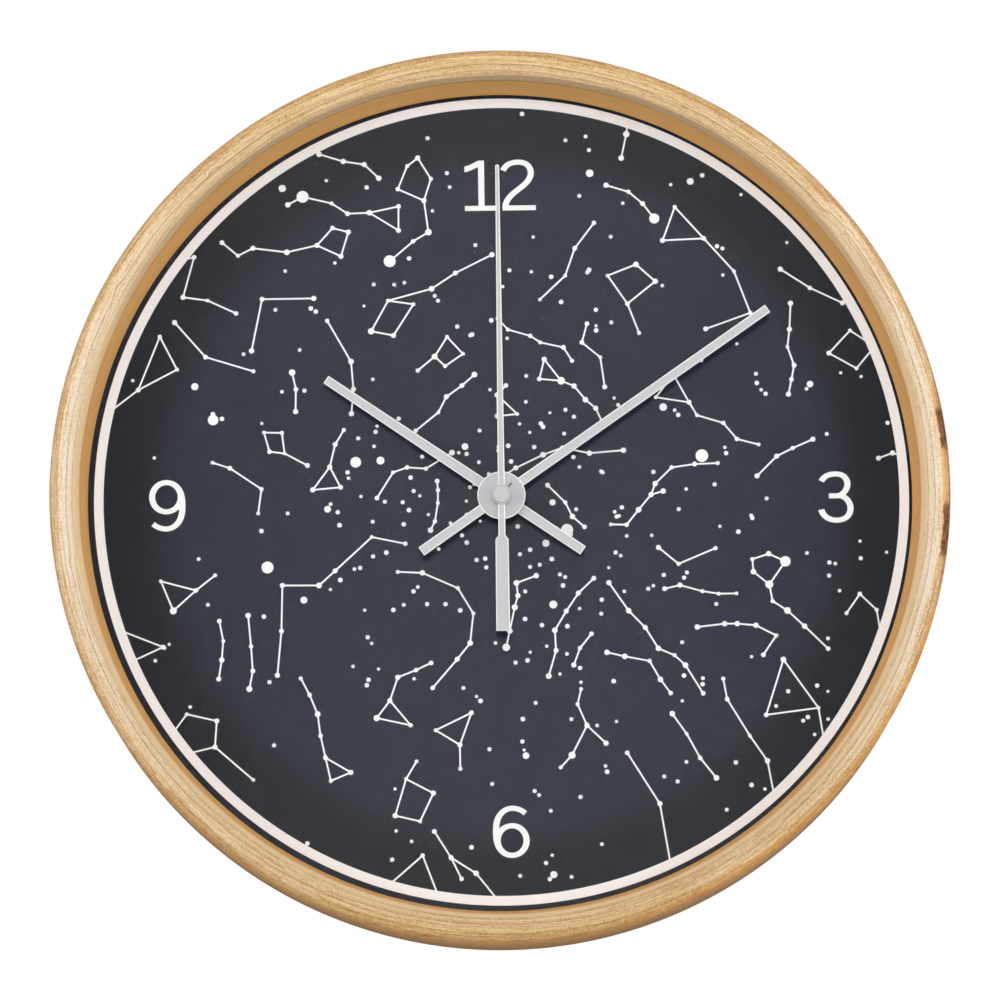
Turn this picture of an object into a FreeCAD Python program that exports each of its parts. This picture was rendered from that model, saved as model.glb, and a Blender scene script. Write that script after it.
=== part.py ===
import FreeCAD, Part
import math
import os

# Round wall clock with a bentwood hoop, a printed dial and a quartz movement.
#
# Millimetres. While the pieces are drawn, the hands turn on the Y axis, the dial's printed face
# lies at y = 0, the viewer stands at -Y and +Z is up, so a height above the dial is a negative y.
# When the pieces are written, all of them move so that the origin is the middle of the hanger's
# keyhole, on the face that the wall screw's head bears on.

# Fits and clearances
PRESS = 0.02
RUN = 0.05
SLACK = 0.15
CUT = 1.0

# Bentwood hoop, seen as the light wooden frame
HOOP_R = 150.0
HOOP_DEPTH = 40.0
HOOP_WALL = 6.6
FACE_WIDTH = 8.3
BEVEL_WIDTH = 1.3
CREST_INSET = 2.6
SIDE_ROUND = 2.8
FACE_DROP = 3.3
BEVEL_H = 2.1
LIP_T = 1.0
RIM_CHAMFER = 0.8
# The dial and hands sit a little right of and above the middle of the hoop.
HOOP_SHIFT_X = -0.5
HOOP_SHIFT_Z = -0.3

# Lens and spacer ring
LENS_T = 2.0
LENS_PLAY = 0.4
LENS_CHAMFER = 0.3
SPACER_H = 11.6
SPACER_DRAFT = 2.1

# Dial
DIAL_T = 1.0
DIAL_PLAY = 0.7
PRINT_T = 0.1
PRINT_RING_INSET = 1.5
PRINT_RING_W = 3.2

# Numerals
NUMERAL_H = 17.5
NUMERAL_STEM = 2.05
NUMERAL_BAR = 1.7
NUMERAL_INSET = 21.4
TWELVE_INSET = 26.6
TWELVE_SIDE = 0.9
SIX_SIDE = 1.8
SIDE_DROP = 1.0

# Back board and its clips
BOARD_T = 3.0
WINDOW_PLAY = 1.0
CLIP_COUNT = 6
CLIP_W = 10.0
CLIP_T = 0.8
CLIP_FOOT = 9.0
CLIP_LEG = 9.0
CLIP_FIRST_DEG = 30.0
SCREW_R = 1.3
SCREW_LEN = 6.0
SCREW_HEAD_R = 2.6
SCREW_HEAD_T = 1.4
SCREW_SLOT = 0.6

# Movement case
CASE_W = 56.0
CASE_DEPTH = 16.0
CASE_WALL = 1.2
CASE_CORNER = 3.0
FRONT_PLATE_T = 1.2
LID_T = 1.4
PARTITION_T = 1.0
TONGUE_W = 6.0
TONGUE_T = 0.9
TONGUE_LEG = 2.4
TONGUE_BARB = 0.9
BOSS_R = 1.3
BOSS_H = 2.4
BEARING_DEPTH = 1.4

# Hanger tab with its keyhole
HANGER_W = 20.0
HANGER_T = 2.0
HANGER_H = 16.0
HANGER_CORNER = 5.0
KEYHOLE_R = 4.2
KEYHOLE_RISE = 6.5
KEYHOLE_SLOT_R = 2.1
KEYHOLE_SLOT = 5.5
GUSSET_T = 1.6
GUSSET_H = 7.0

# Handshaft bush, washers and nut
BUSH_R = 4.0
BUSH_BORE_PLAY = 0.08
BUSH_FLANGE_R = 5.6
BUSH_FLANGE_T = 0.6
BUSH_REACH = 3.2
THREAD_PITCH = 0.75
THREAD_DEPTH = 0.4
RUBBER_T = 0.5
RUBBER_R = 9.0
WASHER_R = 6.4
WASHER_T = 0.5
NUT_FLATS = 11.0
NUT_T = 2.0

# Shafts of the three hands
SECONDS_ARBOR_R = 0.5
MINUTE_TUBE_R = 1.55
MINUTE_JOURNAL_R = 1.2
HOUR_PIPE_R = 2.5
PIVOT_R = 0.4
STEM_R = 0.9
STEM_PIVOT_R = 0.5
STEM_PIVOT_L = 0.9

# Hands: heights are of each hand's back face above the dial
HOUR_HEIGHT = 5.2
MINUTE_HEIGHT = 7.2
SECONDS_HEIGHT = 9.2
HAND_T = 0.6
SECONDS_T = 0.5
HOUR_LEN = 71.0
HOUR_TAIL = 32.9
HOUR_TIP_W = 3.0
HOUR_HUB_W = 3.7
HOUR_TAIL_W = 3.3
HOUR_COLLAR_R = 3.6
HOUR_COLLAR_H = 1.3
MINUTE_LEN = 109.6
MINUTE_TAIL = 32.8
MINUTE_TIP_W = 3.05
MINUTE_HUB_W = 3.2
MINUTE_TAIL_W = 3.4
MINUTE_COLLAR_R = 2.6
MINUTE_COLLAR_H = 0.9
HUB_DISC_R = 8.05
HUB_DOME = 0.5
DOME_HALFWAY_SHARE = 0.75
HUB_MARK_W = 0.5
HUB_MARK_L = 1.7
HUB_MARK_X = 2.9
HUB_MARK_Z = 3.4
HUB_MARK_DEG = 50.0
SECONDS_LEN = 112.2
SECONDS_TIP_W = 1.3
SECONDS_HUB_W = 2.3
SECONDS_NECK = 13.7
SECONDS_SHOULDER = 1.4
SECONDS_BLADE = 45.9
SECONDS_BLADE_W = 4.35
SECONDS_BLADE_END_W = 4.6
SECONDS_TUBE_R = 1.1
SECONDS_TUBE_H = 1.0
CAP_R = 2.85
CAP_T = 0.8
CAP_ROUND = 0.25
CAP_SHOULDER_R = 3.4
CAP_SHOULDER_T = 0.3
# The clock shows nine minutes and a quarter past ten.
MINUTE_DEG = 55.4
HOURS_SHOWN = 10

# Wheel train
WHEEL_T = 0.8
END_PLAY = 0.3
PRESSURE_DEG = 20.0
TOOTH_SHARE = 0.8
ADDENDUM_SHARE = 0.9
DEDENDUM_SHARE = 1.25
MOTION_DISTANCE = 9.0
MOTION_DEG = -15.0
CANNON_TEETH = 12
MINUTE_WHEEL_TEETH = 36
MINUTE_PINION_TEETH = 10
HOUR_WHEEL_TEETH = 40
TRAIN_DISTANCE = 7.2
THIRD_DEG = 150.0
THIRD_PINION_TEETH = 8
CENTRE_WHEEL_TEETH = 64
SECONDS_PINION_TEETH = 8
THIRD_WHEEL_TEETH = 60
FOURTH_DISTANCE = 7.0
INTERMEDIATE_DEG = 60.0
INTERMEDIATE_PINION_TEETH = 10
SECONDS_WHEEL_TEETH = 60
ROTOR_DISTANCE = 6.0
ROTOR_DEG = 35.0
ROTOR_PINION_TEETH = 10
INTERMEDIATE_WHEEL_TEETH = 50
THIRD_JOURNAL_R = 0.7
CENTRE_HUB_R = 2.3
MAGNET_R = 3.0
MAGNET_T = 2.2
MAGNET_HUB_R = 0.8
MIDDLE_PLATE_T = 1.0
POST_R = 1.6
POST_DEG = 135.0
POST_SPREAD_SHARE = 0.7
PEG_R = 0.7
PEG_H = 1.0

# Stator and coil
STATOR_T = 0.9
STATOR_RING_W = 1.0
STATOR_GAP = 0.6
STATOR_BAR_W = 3.0
STATOR_LEFT = 12.0
STATOR_RIGHT = 11.9
STATOR_PEG_SHARE = 1.5
COIL_RISE = 11.5
COIL_R = 4.2
BOBBIN_R = 2.2
BOBBIN_FLANGE_T = 0.8
BOBBIN_PLAY = 0.7

# Circuit board
CIRCUIT_T = 1.0
CIRCUIT_W = 19.5
CIRCUIT_H = 12.0
CIRCUIT_BEHIND = 9.0
CRYSTAL_R = 1.0
CRYSTAL_L = 6.0
CHIP_R = 2.6
CHIP_T = 1.0
CHIP_OUTLINE_SHARES = ((0.0, 0.0), (1.0, 0.0), (1.0, 0.33), (0.8, 0.75), (0.4, 1.0), (0.0, 1.0))
CHIP_PLACE_SHARE = 0.45

# Setting knob
KNOB_R = 5.5
KNOB_T = 1.9
KNOB_FLUTES = 30
KNOB_FLUTE_DEPTH = 0.35
KNOB_DISH = 0.5
KNOB_FLUTE_SHARES = ((0.0, 0.0), (0.5, 0.0), (0.6, 1.0), (0.9, 1.0))

# Cell and contacts
CELL_R = 7.15
CELL_L = 49.0
CELL_NUB_R = 2.75
CELL_NUB_L = 1.3
SLEEVE_T = 0.15
SLEEVE_LIP = 0.6
BAY_H = 15.2
CONTACT_T = 0.4
CONTACT_W = 5.0
CONTACT_SPRING = 1.1
LEAD_W = 2.2

# Worked-out radii and levels of the hoop and what it holds
REBATE_R = HOOP_R - HOOP_WALL
FACE_INNER_R = HOOP_R - FACE_WIDTH
LIP_R = FACE_INNER_R - BEVEL_WIDTH
CREST_R = HOOP_R - CREST_INSET
LENS_SEAT = SPACER_H + LENS_T
LIP_FRONT = LENS_SEAT + LIP_T
BEVEL_TOP = LIP_FRONT + BEVEL_H
CREST = BEVEL_TOP + FACE_DROP
HOOP_BACK = HOOP_DEPTH - CREST
LENS_R = REBATE_R - LENS_PLAY
DIAL_R = REBATE_R - DIAL_PLAY
PRINT_RING_R = LIP_R - SPACER_DRAFT - PRINT_RING_INSET
NUMERAL_R = PRINT_RING_R - PRINT_RING_W - NUMERAL_INSET
TWELVE_R = PRINT_RING_R - PRINT_RING_W - TWELVE_INSET

# Movement levels, counted as y behind the dial's printed face
CASE_FRONT = DIAL_T + RUBBER_T
CASE_BACK = CASE_FRONT + CASE_DEPTH
LID_FRONT = CASE_BACK - LID_T
PLATE_BACK = CASE_FRONT + FRONT_PLATE_T
HOUR_WHEEL_Y = PLATE_BACK + END_PLAY
CANNON_Y = HOUR_WHEEL_Y + WHEEL_T + END_PLAY
MINUTE_WHEEL_Y = CANNON_Y + END_PLAY
CENTRE_HUB_Y = MINUTE_WHEEL_Y + WHEEL_T + END_PLAY + END_PLAY
CENTRE_WHEEL_Y = CENTRE_HUB_Y + END_PLAY
CENTRE_HUB_END = CENTRE_WHEEL_Y + WHEEL_T + END_PLAY
MIDDLE_PLATE_Y = CENTRE_HUB_END + END_PLAY
MIDDLE_PLATE_END = MIDDLE_PLATE_Y + MIDDLE_PLATE_T
SECONDS_PINION_Y = MIDDLE_PLATE_END + END_PLAY
THIRD_WHEEL_Y = SECONDS_PINION_Y + END_PLAY
SECONDS_WHEEL_Y = THIRD_WHEEL_Y + WHEEL_T + END_PLAY + END_PLAY
INTERMEDIATE_PINION_Y = SECONDS_WHEEL_Y - END_PLAY
INTERMEDIATE_WHEEL_Y = SECONDS_WHEEL_Y + WHEEL_T + END_PLAY + END_PLAY
ROTOR_PINION_Y = INTERMEDIATE_WHEEL_Y - END_PLAY
TRAIN_END = INTERMEDIATE_WHEEL_Y + WHEEL_T + END_PLAY
ARBOR_END = LID_FRONT - BOSS_H + BEARING_DEPTH - END_PLAY
STATOR_Y = MIDDLE_PLATE_END + PEG_H
MAGNET_Y = STATOR_Y + STATOR_T / 2 - MAGNET_T / 2
CORE_Y = STATOR_Y + STATOR_T

# Places of the movement's pieces, as x and z
CASE_HALF = CASE_W / 2
CASE_INNER = CASE_HALF - CASE_WALL
BAY_TOP = -CASE_INNER + BAY_H
PARTITION_TOP = BAY_TOP + PARTITION_T
CELL_Z = -CASE_INNER + BAY_H / 2
CELL_Y = PLATE_BACK + SLACK + CELL_R + SLEEVE_T
CELL_X0 = -CASE_INNER + CONTACT_T + CONTACT_SPRING + RUN + SLEEVE_T
HANGER_Z = CASE_HALF + KEYHOLE_RISE
KEYHOLE_SLOT_Z = HANGER_Z + KEYHOLE_SLOT


def polar(distance, degrees, start=(0.0, 0.0)):
    """A point at a distance and angle from a start point, with angles counted from +X to +Z."""
    a = math.radians(degrees)
    return (start[0] + distance * math.cos(a), start[1] + distance * math.sin(a))


CENTRE = (0.0, 0.0)
MOTION = polar(MOTION_DISTANCE, MOTION_DEG)
THIRD = polar(TRAIN_DISTANCE, THIRD_DEG)
INTERMEDIATE = polar(FOURTH_DISTANCE, INTERMEDIATE_DEG)
ROTOR = polar(ROTOR_DISTANCE, ROTOR_DEG, INTERMEDIATE)
COIL_Z = ROTOR[1] + COIL_RISE

ORIGIN = FreeCAD.Vector(0, CASE_BACK, HANGER_Z)
Y_AXIS = FreeCAD.Vector(0, 1, 0)


# Small shape helpers

def vec(x, y, z):
    return FreeCAD.Vector(x, y, z)


def disc(radius, y0, y1, at=CENTRE):
    """A round bar along Y between two levels."""
    return Part.makeCylinder(radius, y1 - y0, vec(at[0], y0, at[1]), Y_AXIS)


def tube(outer, inner, y0, y1, at=CENTRE):
    """A round bar along Y with a bore through it."""
    return disc(outer, y0, y1, at).cut(disc(inner, y0 - CUT, y1 + CUT, at))


def box(x0, x1, y0, y1, z0, z1):
    """A block between two corners."""
    return Part.makeBox(x1 - x0, y1 - y0, z1 - z0, vec(x0, y0, z0))


def prism(points, y0, y1):
    """A closed outline of x, z points carried along Y."""
    loop = [vec(x, y0, z) for x, z in points]
    return Part.Face(Part.makePolygon(loop + loop[:1])).extrude(vec(0, y1 - y0, 0))


def turned(points, at=CENTRE):
    """A closed outline of radius, y points turned about an axis along Y."""
    loop = [vec(at[0] + r, y, at[1]) for r, y in points]
    return turned_face(Part.Wire(Part.makePolygon(loop + loop[:1])), at)


def turned_face(wire, at=CENTRE):
    """A closed wire in the XY plane turned about an axis along Y."""
    return Part.Face(wire).revolve(vec(at[0], 0, at[1]), Y_AXIS, 360)


def rounded_block(half_w, z0, z1, y0, y1, corner):
    """A block along Y with its four long edges rounded."""
    block = box(-half_w, half_w, y0, y1, z0, z1)
    edges = [e for e in block.Edges if abs(e.tangentAt(0).y) > abs(e.tangentAt(0).x) + abs(e.tangentAt(0).z)]
    return block.makeFillet(corner, edges)


def hour_turn(shape, degrees):
    """A shape turned clockwise on the hands' axis, as the viewer sees it."""
    turned_shape = shape.copy()
    turned_shape.rotate(vec(0, 0, 0), Y_AXIS, degrees)
    return turned_shape


def in_hoop(shape):
    """A shape moved from the hands' axis to the middle of the hoop."""
    moved = shape.copy()
    moved.translate(vec(HOOP_SHIFT_X, 0, HOOP_SHIFT_Z))
    return moved


def save(node, *shapes):
    """Write one node, moved to the hanger's origin."""
    shape = shapes[0] if len(shapes) == 1 else Part.makeCompound(list(shapes))
    shape = shape.copy()
    shape.translate(-ORIGIN)
    shape.exportStep("parts/" + node + ".step")
    print(node, len(shape.Solids), "solids, valid" if shape.isValid() else "solids, NOT valid")


# Toothed wheels

def module_of(distance, teeth_a, teeth_b):
    """The tooth size of two meshing wheels, from the distance between their axes."""
    return 2 * distance / (teeth_a + teeth_b)


def half_angle(teeth, pitch_r, radius):
    """Half the angle that a tooth with involute flanks takes up at a radius."""
    a = math.radians(PRESSURE_DEG)
    base_r = pitch_r * math.cos(a)
    phi = math.acos(min(1.0, base_r / radius))
    at_base = math.pi / 2 / teeth * TOOTH_SHARE + math.tan(a) - a
    return at_base - (math.tan(phi) - phi)


def gear(teeth, module, y0, y1, at, mesh_deg, on_gap=False):
    """A toothed disc with a tooth, or with on_gap a gap, pointing along mesh_deg."""
    pitch_r = module * teeth / 2
    radii = (pitch_r - DEDENDUM_SHARE * module, pitch_r, pitch_r + ADDENDUM_SHARE * module)
    step = 2 * math.pi / teeth
    first = math.radians(mesh_deg) + (step / 2 if on_gap else 0)
    points = []
    for k in range(teeth):
        middle = first + k * step
        up = [(r, middle - half_angle(teeth, pitch_r, r)) for r in radii]
        down = [(r, middle + half_angle(teeth, pitch_r, r)) for r in reversed(radii)]
        points += [(at[0] + r * math.cos(a), at[1] + r * math.sin(a)) for r, a in up + down]
    return prism(points, y0, y1)


# Hoop, lens, spacer ring and dial

def quarter(centre_r, centre_y, half_r, half_y, first, last):
    """A stretch of an upright ellipse in the XY plane, between two angles in degrees."""
    ends = []
    steps = (first, (first + last) / 2, last)
    for degrees in steps:
        a = math.radians(degrees)
        ends.append(vec(centre_r + half_r * math.cos(a), centre_y + half_y * math.sin(a), 0))
    curve = Part.BSplineCurve()
    slope = []
    for degrees in steps:
        a = math.radians(degrees)
        slope.append(vec(-half_r * math.sin(a), half_y * math.cos(a), 0))
    turn = math.radians(last - first)
    weight = math.cos(turn / 4)
    poles = [ends[0], ends[0] + slope[0] * math.tan(turn / 4), ends[1],
             ends[1] + slope[1] * math.tan(turn / 4), ends[2]]
    curve.buildFromPolesMultsKnots(poles, [3, 2, 3], [0.0, 0.5, 1.0], False, 2,
                                   [1.0, weight, 1.0, weight, 1.0])
    return curve.toShape()


def wood_frame():
    """The hoop's section: straight side, round front, bevel, lip over the lens, and rebate."""
    side_top = -(CREST - SIDE_ROUND)
    outer = quarter(CREST_R, side_top, CREST_INSET, SIDE_ROUND, 0, -90)
    inner = quarter(CREST_R, -BEVEL_TOP, CREST_R - FACE_INNER_R, FACE_DROP, -90, -180)
    points = [(FACE_INNER_R, -BEVEL_TOP), (LIP_R, -LIP_FRONT), (LIP_R, -LENS_SEAT),
              (REBATE_R, -LENS_SEAT), (REBATE_R, HOOP_BACK - RIM_CHAMFER),
              (REBATE_R + RIM_CHAMFER, HOOP_BACK), (HOOP_R - RIM_CHAMFER, HOOP_BACK),
              (HOOP_R, HOOP_BACK - RIM_CHAMFER), (HOOP_R, side_top)]
    rest = Part.makePolygon([vec(r, y, 0) for r, y in points])
    hoop = turned_face(Part.Wire([outer, inner] + rest.Edges))
    for k in range(CLIP_COUNT):
        hoop = hoop.cut(hour_turn(clip_screw_bar(SCREW_R + PRESS), clip_angle(k)))
    return hoop


def lens():
    """A flat round pane with eased edges."""
    pane = disc(LENS_R, -LENS_SEAT, -SPACER_H)
    return pane.makeChamfer(LENS_CHAMFER, [e for e in pane.Edges if e.isClosed()])


def spacer_ring():
    """The ring between dial and lens, wider at the lens by its draft."""
    return turned([(LIP_R - SPACER_DRAFT, 0), (LIP_R, -SPACER_H), (LENS_R, -SPACER_H),
                   (LENS_R, 0)])


def dial_plate():
    return tube(DIAL_R, BUSH_R + SLACK, 0, DIAL_T)


def dial_ring():
    return tube(PRINT_RING_R, PRINT_RING_R - PRINT_RING_W, -PRINT_T, 0)


# Numerals, drawn as pen strokes in shares of the numeral's height from its lower left corner

SIX_OUTER_SHARES = [(0.659, 0.888), (0.518, 0.969), (0.352, 0.995), (0.189, 0.941),
                    (0.071, 0.817), (0.015, 0.662), (0.003, 0.505), (0.012, 0.34), (0.07, 0.172),
                    (0.2, 0.041), (0.366, -0.001), (0.532, 0.041), (0.656, 0.165),
                    (0.7, 0.331), (0.656, 0.497), (0.532, 0.621), (0.366, 0.663),
                    (0.216, 0.627), (0.124, 0.558)]
SIX_INNER_SHARES = [(0.124, 0.558), (0.145, 0.704), (0.203, 0.813), (0.3, 0.884), (0.421, 0.894),
                    (0.591, 0.808)]
SIX_HOLE_SHARES = (0.366, 0.331)
SIX_HOLE_HALF_SHARES = (0.217, 0.234)
SIX_WIDTH_SHARE = 0.7
THREE_TOP_SHARES = [(0.06, 0.808), (0.165, 0.912), (0.32, 0.947), (0.49, 0.9), (0.56, 0.76),
                    (0.52, 0.625), (0.4, 0.53)]
THREE_LOW_SHARES = [(0.4, 0.53), (0.545, 0.45), (0.61, 0.292), (0.55, 0.125), (0.34, 0.05),
                    (0.14, 0.115), (0.05, 0.26)]
THREE_BAR_SHARES = [(0.2, 0.523), (0.44, 0.523)]
TWO_BOW_SHARES = [(0.03, 0.785), (0.13, 0.9), (0.32, 0.947), (0.5, 0.89), (0.568, 0.735),
                  (0.49, 0.555), (0.31, 0.4), (0.16, 0.27), (0.085, 0.15), (0.07, 0.05)]
TWO_BAR_SHARES = [(0.012, 0.048), (0.655, 0.048)]
ONE_STEM_SHARES = [(0.322, 0.02), (0.322, 0.985)]
ONE_FLAG_SHARES = [(0.0, 0.757), (0.0, 0.872), (0.1, 0.9), (0.27, 0.985), (0.322, 0.985),
                   (0.322, 0.87), (0.265, 0.86), (0.1, 0.785)]
ONE_FOOT_SHARES = [(0.0, 0.048), (0.644, 0.048)]
TWO_AFTER_ONE_SHARE = 0.715


def pen_width(nx, nz):
    """Half the stroke's width across a normal: stems are wider than bars."""
    return math.hypot(NUMERAL_STEM * nx, NUMERAL_BAR * nz) / 2


def pen_curve(shares):
    points = [vec(x * NUMERAL_H, 0, z * NUMERAL_H) for x, z in shares]
    if len(points) == 2:
        return Part.LineSegment(points[0], points[1])
    curve = Part.BSplineCurve()
    curve.interpolate(points)
    return curve


def stroke(shares):
    """A pen stroke: both edges lie half a pen's width from a smooth middle line."""
    curve = pen_curve(shares)
    first, last = curve.FirstParameter, curve.LastParameter
    count = 2 * len(shares) + 1 if len(shares) > 2 else 2
    left, right = [], []
    for k in range(count):
        at = first + (last - first) * k / (count - 1)
        point = curve.value(at)
        along = curve.tangent(at)[0]
        half = pen_width(along.z, along.x)
        left.append(vec(point.x - along.z * half, 0, point.z + along.x * half))
        right.append(vec(point.x + along.z * half, 0, point.z - along.x * half))
    edges = [Part.LineSegment(left[-1], right[-1]).toShape(),
             Part.LineSegment(right[0], left[0]).toShape()]
    for side in (left, right):
        if count == 2:
            edges.append(Part.LineSegment(side[0], side[1]).toShape())
        else:
            edge = Part.BSplineCurve()
            edge.interpolate(side)
            edges.append(edge.toShape())
    return Part.Face(Part.Wire(Part.sortEdges(edges)[0])).extrude(vec(0, -PRINT_T, 0))


def ellipse_bar(centre, half_x, half_z):
    """A flat oval of the print's thickness, with its long way along X or Z."""
    upright = half_z > half_x
    big, small = max(half_x, half_z), min(half_x, half_z)
    oval = Part.Ellipse(vec(0, 0, 0), big, small)
    face = Part.Face(Part.Wire(oval.toShape()))
    face.rotate(vec(0, 0, 0), vec(1, 0, 0), 90)
    if upright:
        face.rotate(vec(0, 0, 0), Y_AXIS, 90)
    face.translate(vec(centre[0], 0, centre[1]))
    return face.extrude(vec(0, -PRINT_T, 0))


def six():
    """One outline from the stem's end round the bowl and back, with an oval hole."""
    outer = pen_curve(SIX_OUTER_SHARES)
    inner = pen_curve(SIX_INNER_SHARES)
    stem_end = Part.LineSegment(inner.EndPoint, outer.StartPoint)
    outline = Part.Wire([outer.toShape(), inner.toShape(), stem_end.toShape()])
    centre = [s * NUMERAL_H for s in SIX_HOLE_SHARES]
    hole = ellipse_bar(centre, *[s * NUMERAL_H for s in SIX_HOLE_HALF_SHARES])
    return Part.Face(outline).extrude(vec(0, -PRINT_T, 0)).cut(hole)


def nine():
    """The six turned upside down."""
    shape = six()
    shape.rotate(vec(SIX_WIDTH_SHARE * NUMERAL_H / 2, 0, NUMERAL_H / 2), Y_AXIS, 180)
    return shape


def three():
    return stroke(THREE_TOP_SHARES).fuse([stroke(THREE_LOW_SHARES), stroke(THREE_BAR_SHARES)])


def two():
    return stroke(TWO_BOW_SHARES).fuse(stroke(TWO_BAR_SHARES))


def one():
    flag = prism([(x * NUMERAL_H, z * NUMERAL_H) for x, z in ONE_FLAG_SHARES], -PRINT_T, 0)
    return stroke(ONE_STEM_SHARES).fuse([stroke(ONE_FOOT_SHARES), flag])


def placed(glyph, x, z):
    """A numeral with the middle of its box at a point of the dial."""
    box_of = glyph.BoundBox
    glyph.translate(vec(x - box_of.Center.x, 0, z - box_of.Center.z))
    return glyph


def dial_numerals():
    second = two()
    second.translate(vec(TWO_AFTER_ONE_SHARE * NUMERAL_H, 0, 0))
    twelve = placed(Part.makeCompound([one(), second]), TWELVE_SIDE, TWELVE_R)
    return twelve.Solids + [placed(three(), NUMERAL_R, -SIDE_DROP),
                            placed(six(), SIX_SIDE, -NUMERAL_R),
                            placed(nine(), -NUMERAL_R, -SIDE_DROP)]


# Back board, clips and their screws

BOARD_FRONT = DIAL_T
BOARD_BACK = BOARD_FRONT + BOARD_T
CLIP_FACE = REBATE_R - SLACK
SCREW_Y = BOARD_BACK + CLIP_T + CLIP_LEG / 2


def clip_angle(k):
    return CLIP_FIRST_DEG + k * 360 / CLIP_COUNT


def back_board():
    """A flat board with a window that the movement passes through."""
    half = CASE_HALF + WINDOW_PLAY
    window = rounded_block(half, -half, half, BOARD_FRONT - CUT, BOARD_BACK + CUT, CASE_CORNER)
    window.translate(vec(-HOOP_SHIFT_X, 0, -HOOP_SHIFT_Z))
    return disc(LENS_R, BOARD_FRONT, BOARD_BACK).cut(window)


def clip_screw_bar(radius):
    """The screw's shank, standing along Z at the top of the hoop."""
    start = vec(0, SCREW_Y, CLIP_FACE - CLIP_T)
    return Part.makeCylinder(radius, SCREW_LEN, start, vec(0, 0, 1))


def board_clip():
    """A bent strip: its foot lies on the board and its leg on the hoop's inner wall."""
    half = CLIP_W / 2
    foot = box(-half, half, BOARD_BACK, BOARD_BACK + CLIP_T, CLIP_FACE - CLIP_FOOT, CLIP_FACE)
    leg = box(-half, half, BOARD_BACK, BOARD_BACK + CLIP_T + CLIP_LEG,
              CLIP_FACE - CLIP_T, CLIP_FACE)
    return foot.fuse(leg).removeSplitter().cut(clip_screw_bar(SCREW_R + SLACK))


def clip_screw():
    """A pan-head wood screw with a slot."""
    seat = CLIP_FACE - CLIP_T
    head = Part.makeCylinder(SCREW_HEAD_R, SCREW_HEAD_T, vec(0, SCREW_Y, seat), vec(0, 0, -1))
    slot = box(-SCREW_HEAD_R, SCREW_HEAD_R, SCREW_Y - SCREW_SLOT / 2, SCREW_Y + SCREW_SLOT / 2,
               seat - SCREW_HEAD_T - CUT, seat - SCREW_HEAD_T / 2)
    return head.fuse(clip_screw_bar(SCREW_R)).cut(slot)


# Movement case, lid and middle plate

def post_places():
    """Where the posts under the middle plate stand, clear of the wheels."""
    reach = TRAIN_DISTANCE + MOTION_DISTANCE
    low = PARTITION_TOP + POST_R * 2
    return [polar(reach, POST_DEG), (-reach * POST_SPREAD_SHARE, low),
            (MOTION[0] + MOTION_DISTANCE, low),
            (MOTION[0] + MOTION_DISTANCE * POST_SPREAD_SHARE, ROTOR[1] - POST_R)]


CIRCUIT_LEFT = -CASE_INNER + CONTACT_T + PRESS
CIRCUIT_TOP = CASE_INNER - SLACK
CIRCUIT_Y = CASE_FRONT + CIRCUIT_BEHIND


def circuit_posts():
    """Two posts that hold the circuit board off the front plate."""
    return [(CIRCUIT_LEFT + POST_R * 2, CIRCUIT_TOP - CIRCUIT_H + POST_R * 2),
            (CIRCUIT_LEFT + CIRCUIT_W - POST_R * 2, CIRCUIT_TOP - POST_R * 2)]


def hanger():
    """The tab above the case, with a keyhole for a wall screw and two gussets."""
    y0 = CASE_BACK - HANGER_T
    half = HANGER_W / 2
    tab = rounded_block(half, CASE_HALF - HANGER_CORNER * 2, CASE_HALF + HANGER_H, y0, CASE_BACK,
                        HANGER_CORNER)
    tab = tab.common(box(-half, half, y0, CASE_BACK, CASE_HALF - CASE_WALL,
                         CASE_HALF + HANGER_H))
    hole = disc(KEYHOLE_R, y0 - CUT, CASE_BACK + CUT, (0, HANGER_Z))
    slot = box(-KEYHOLE_SLOT_R, KEYHOLE_SLOT_R, y0 - CUT, CASE_BACK + CUT, HANGER_Z,
               KEYHOLE_SLOT_Z)
    top = disc(KEYHOLE_SLOT_R, y0 - CUT, CASE_BACK + CUT, (0, KEYHOLE_SLOT_Z))
    tab = tab.cut([hole, slot, top])
    for side in (-1, 1):
        x0 = side * half - (GUSSET_T if side > 0 else 0)
        corner = [vec(x0, y0, CASE_HALF - CASE_WALL), vec(x0, y0 - GUSSET_H, CASE_HALF - CASE_WALL),
                  vec(x0, y0 - GUSSET_H, CASE_HALF), vec(x0, y0, CASE_HALF + GUSSET_H)]
        rib = Part.Face(Part.makePolygon(corner + corner[:1])).extrude(vec(GUSSET_T, 0, 0))
        tab = tab.fuse(rib)
    return tab


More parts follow.
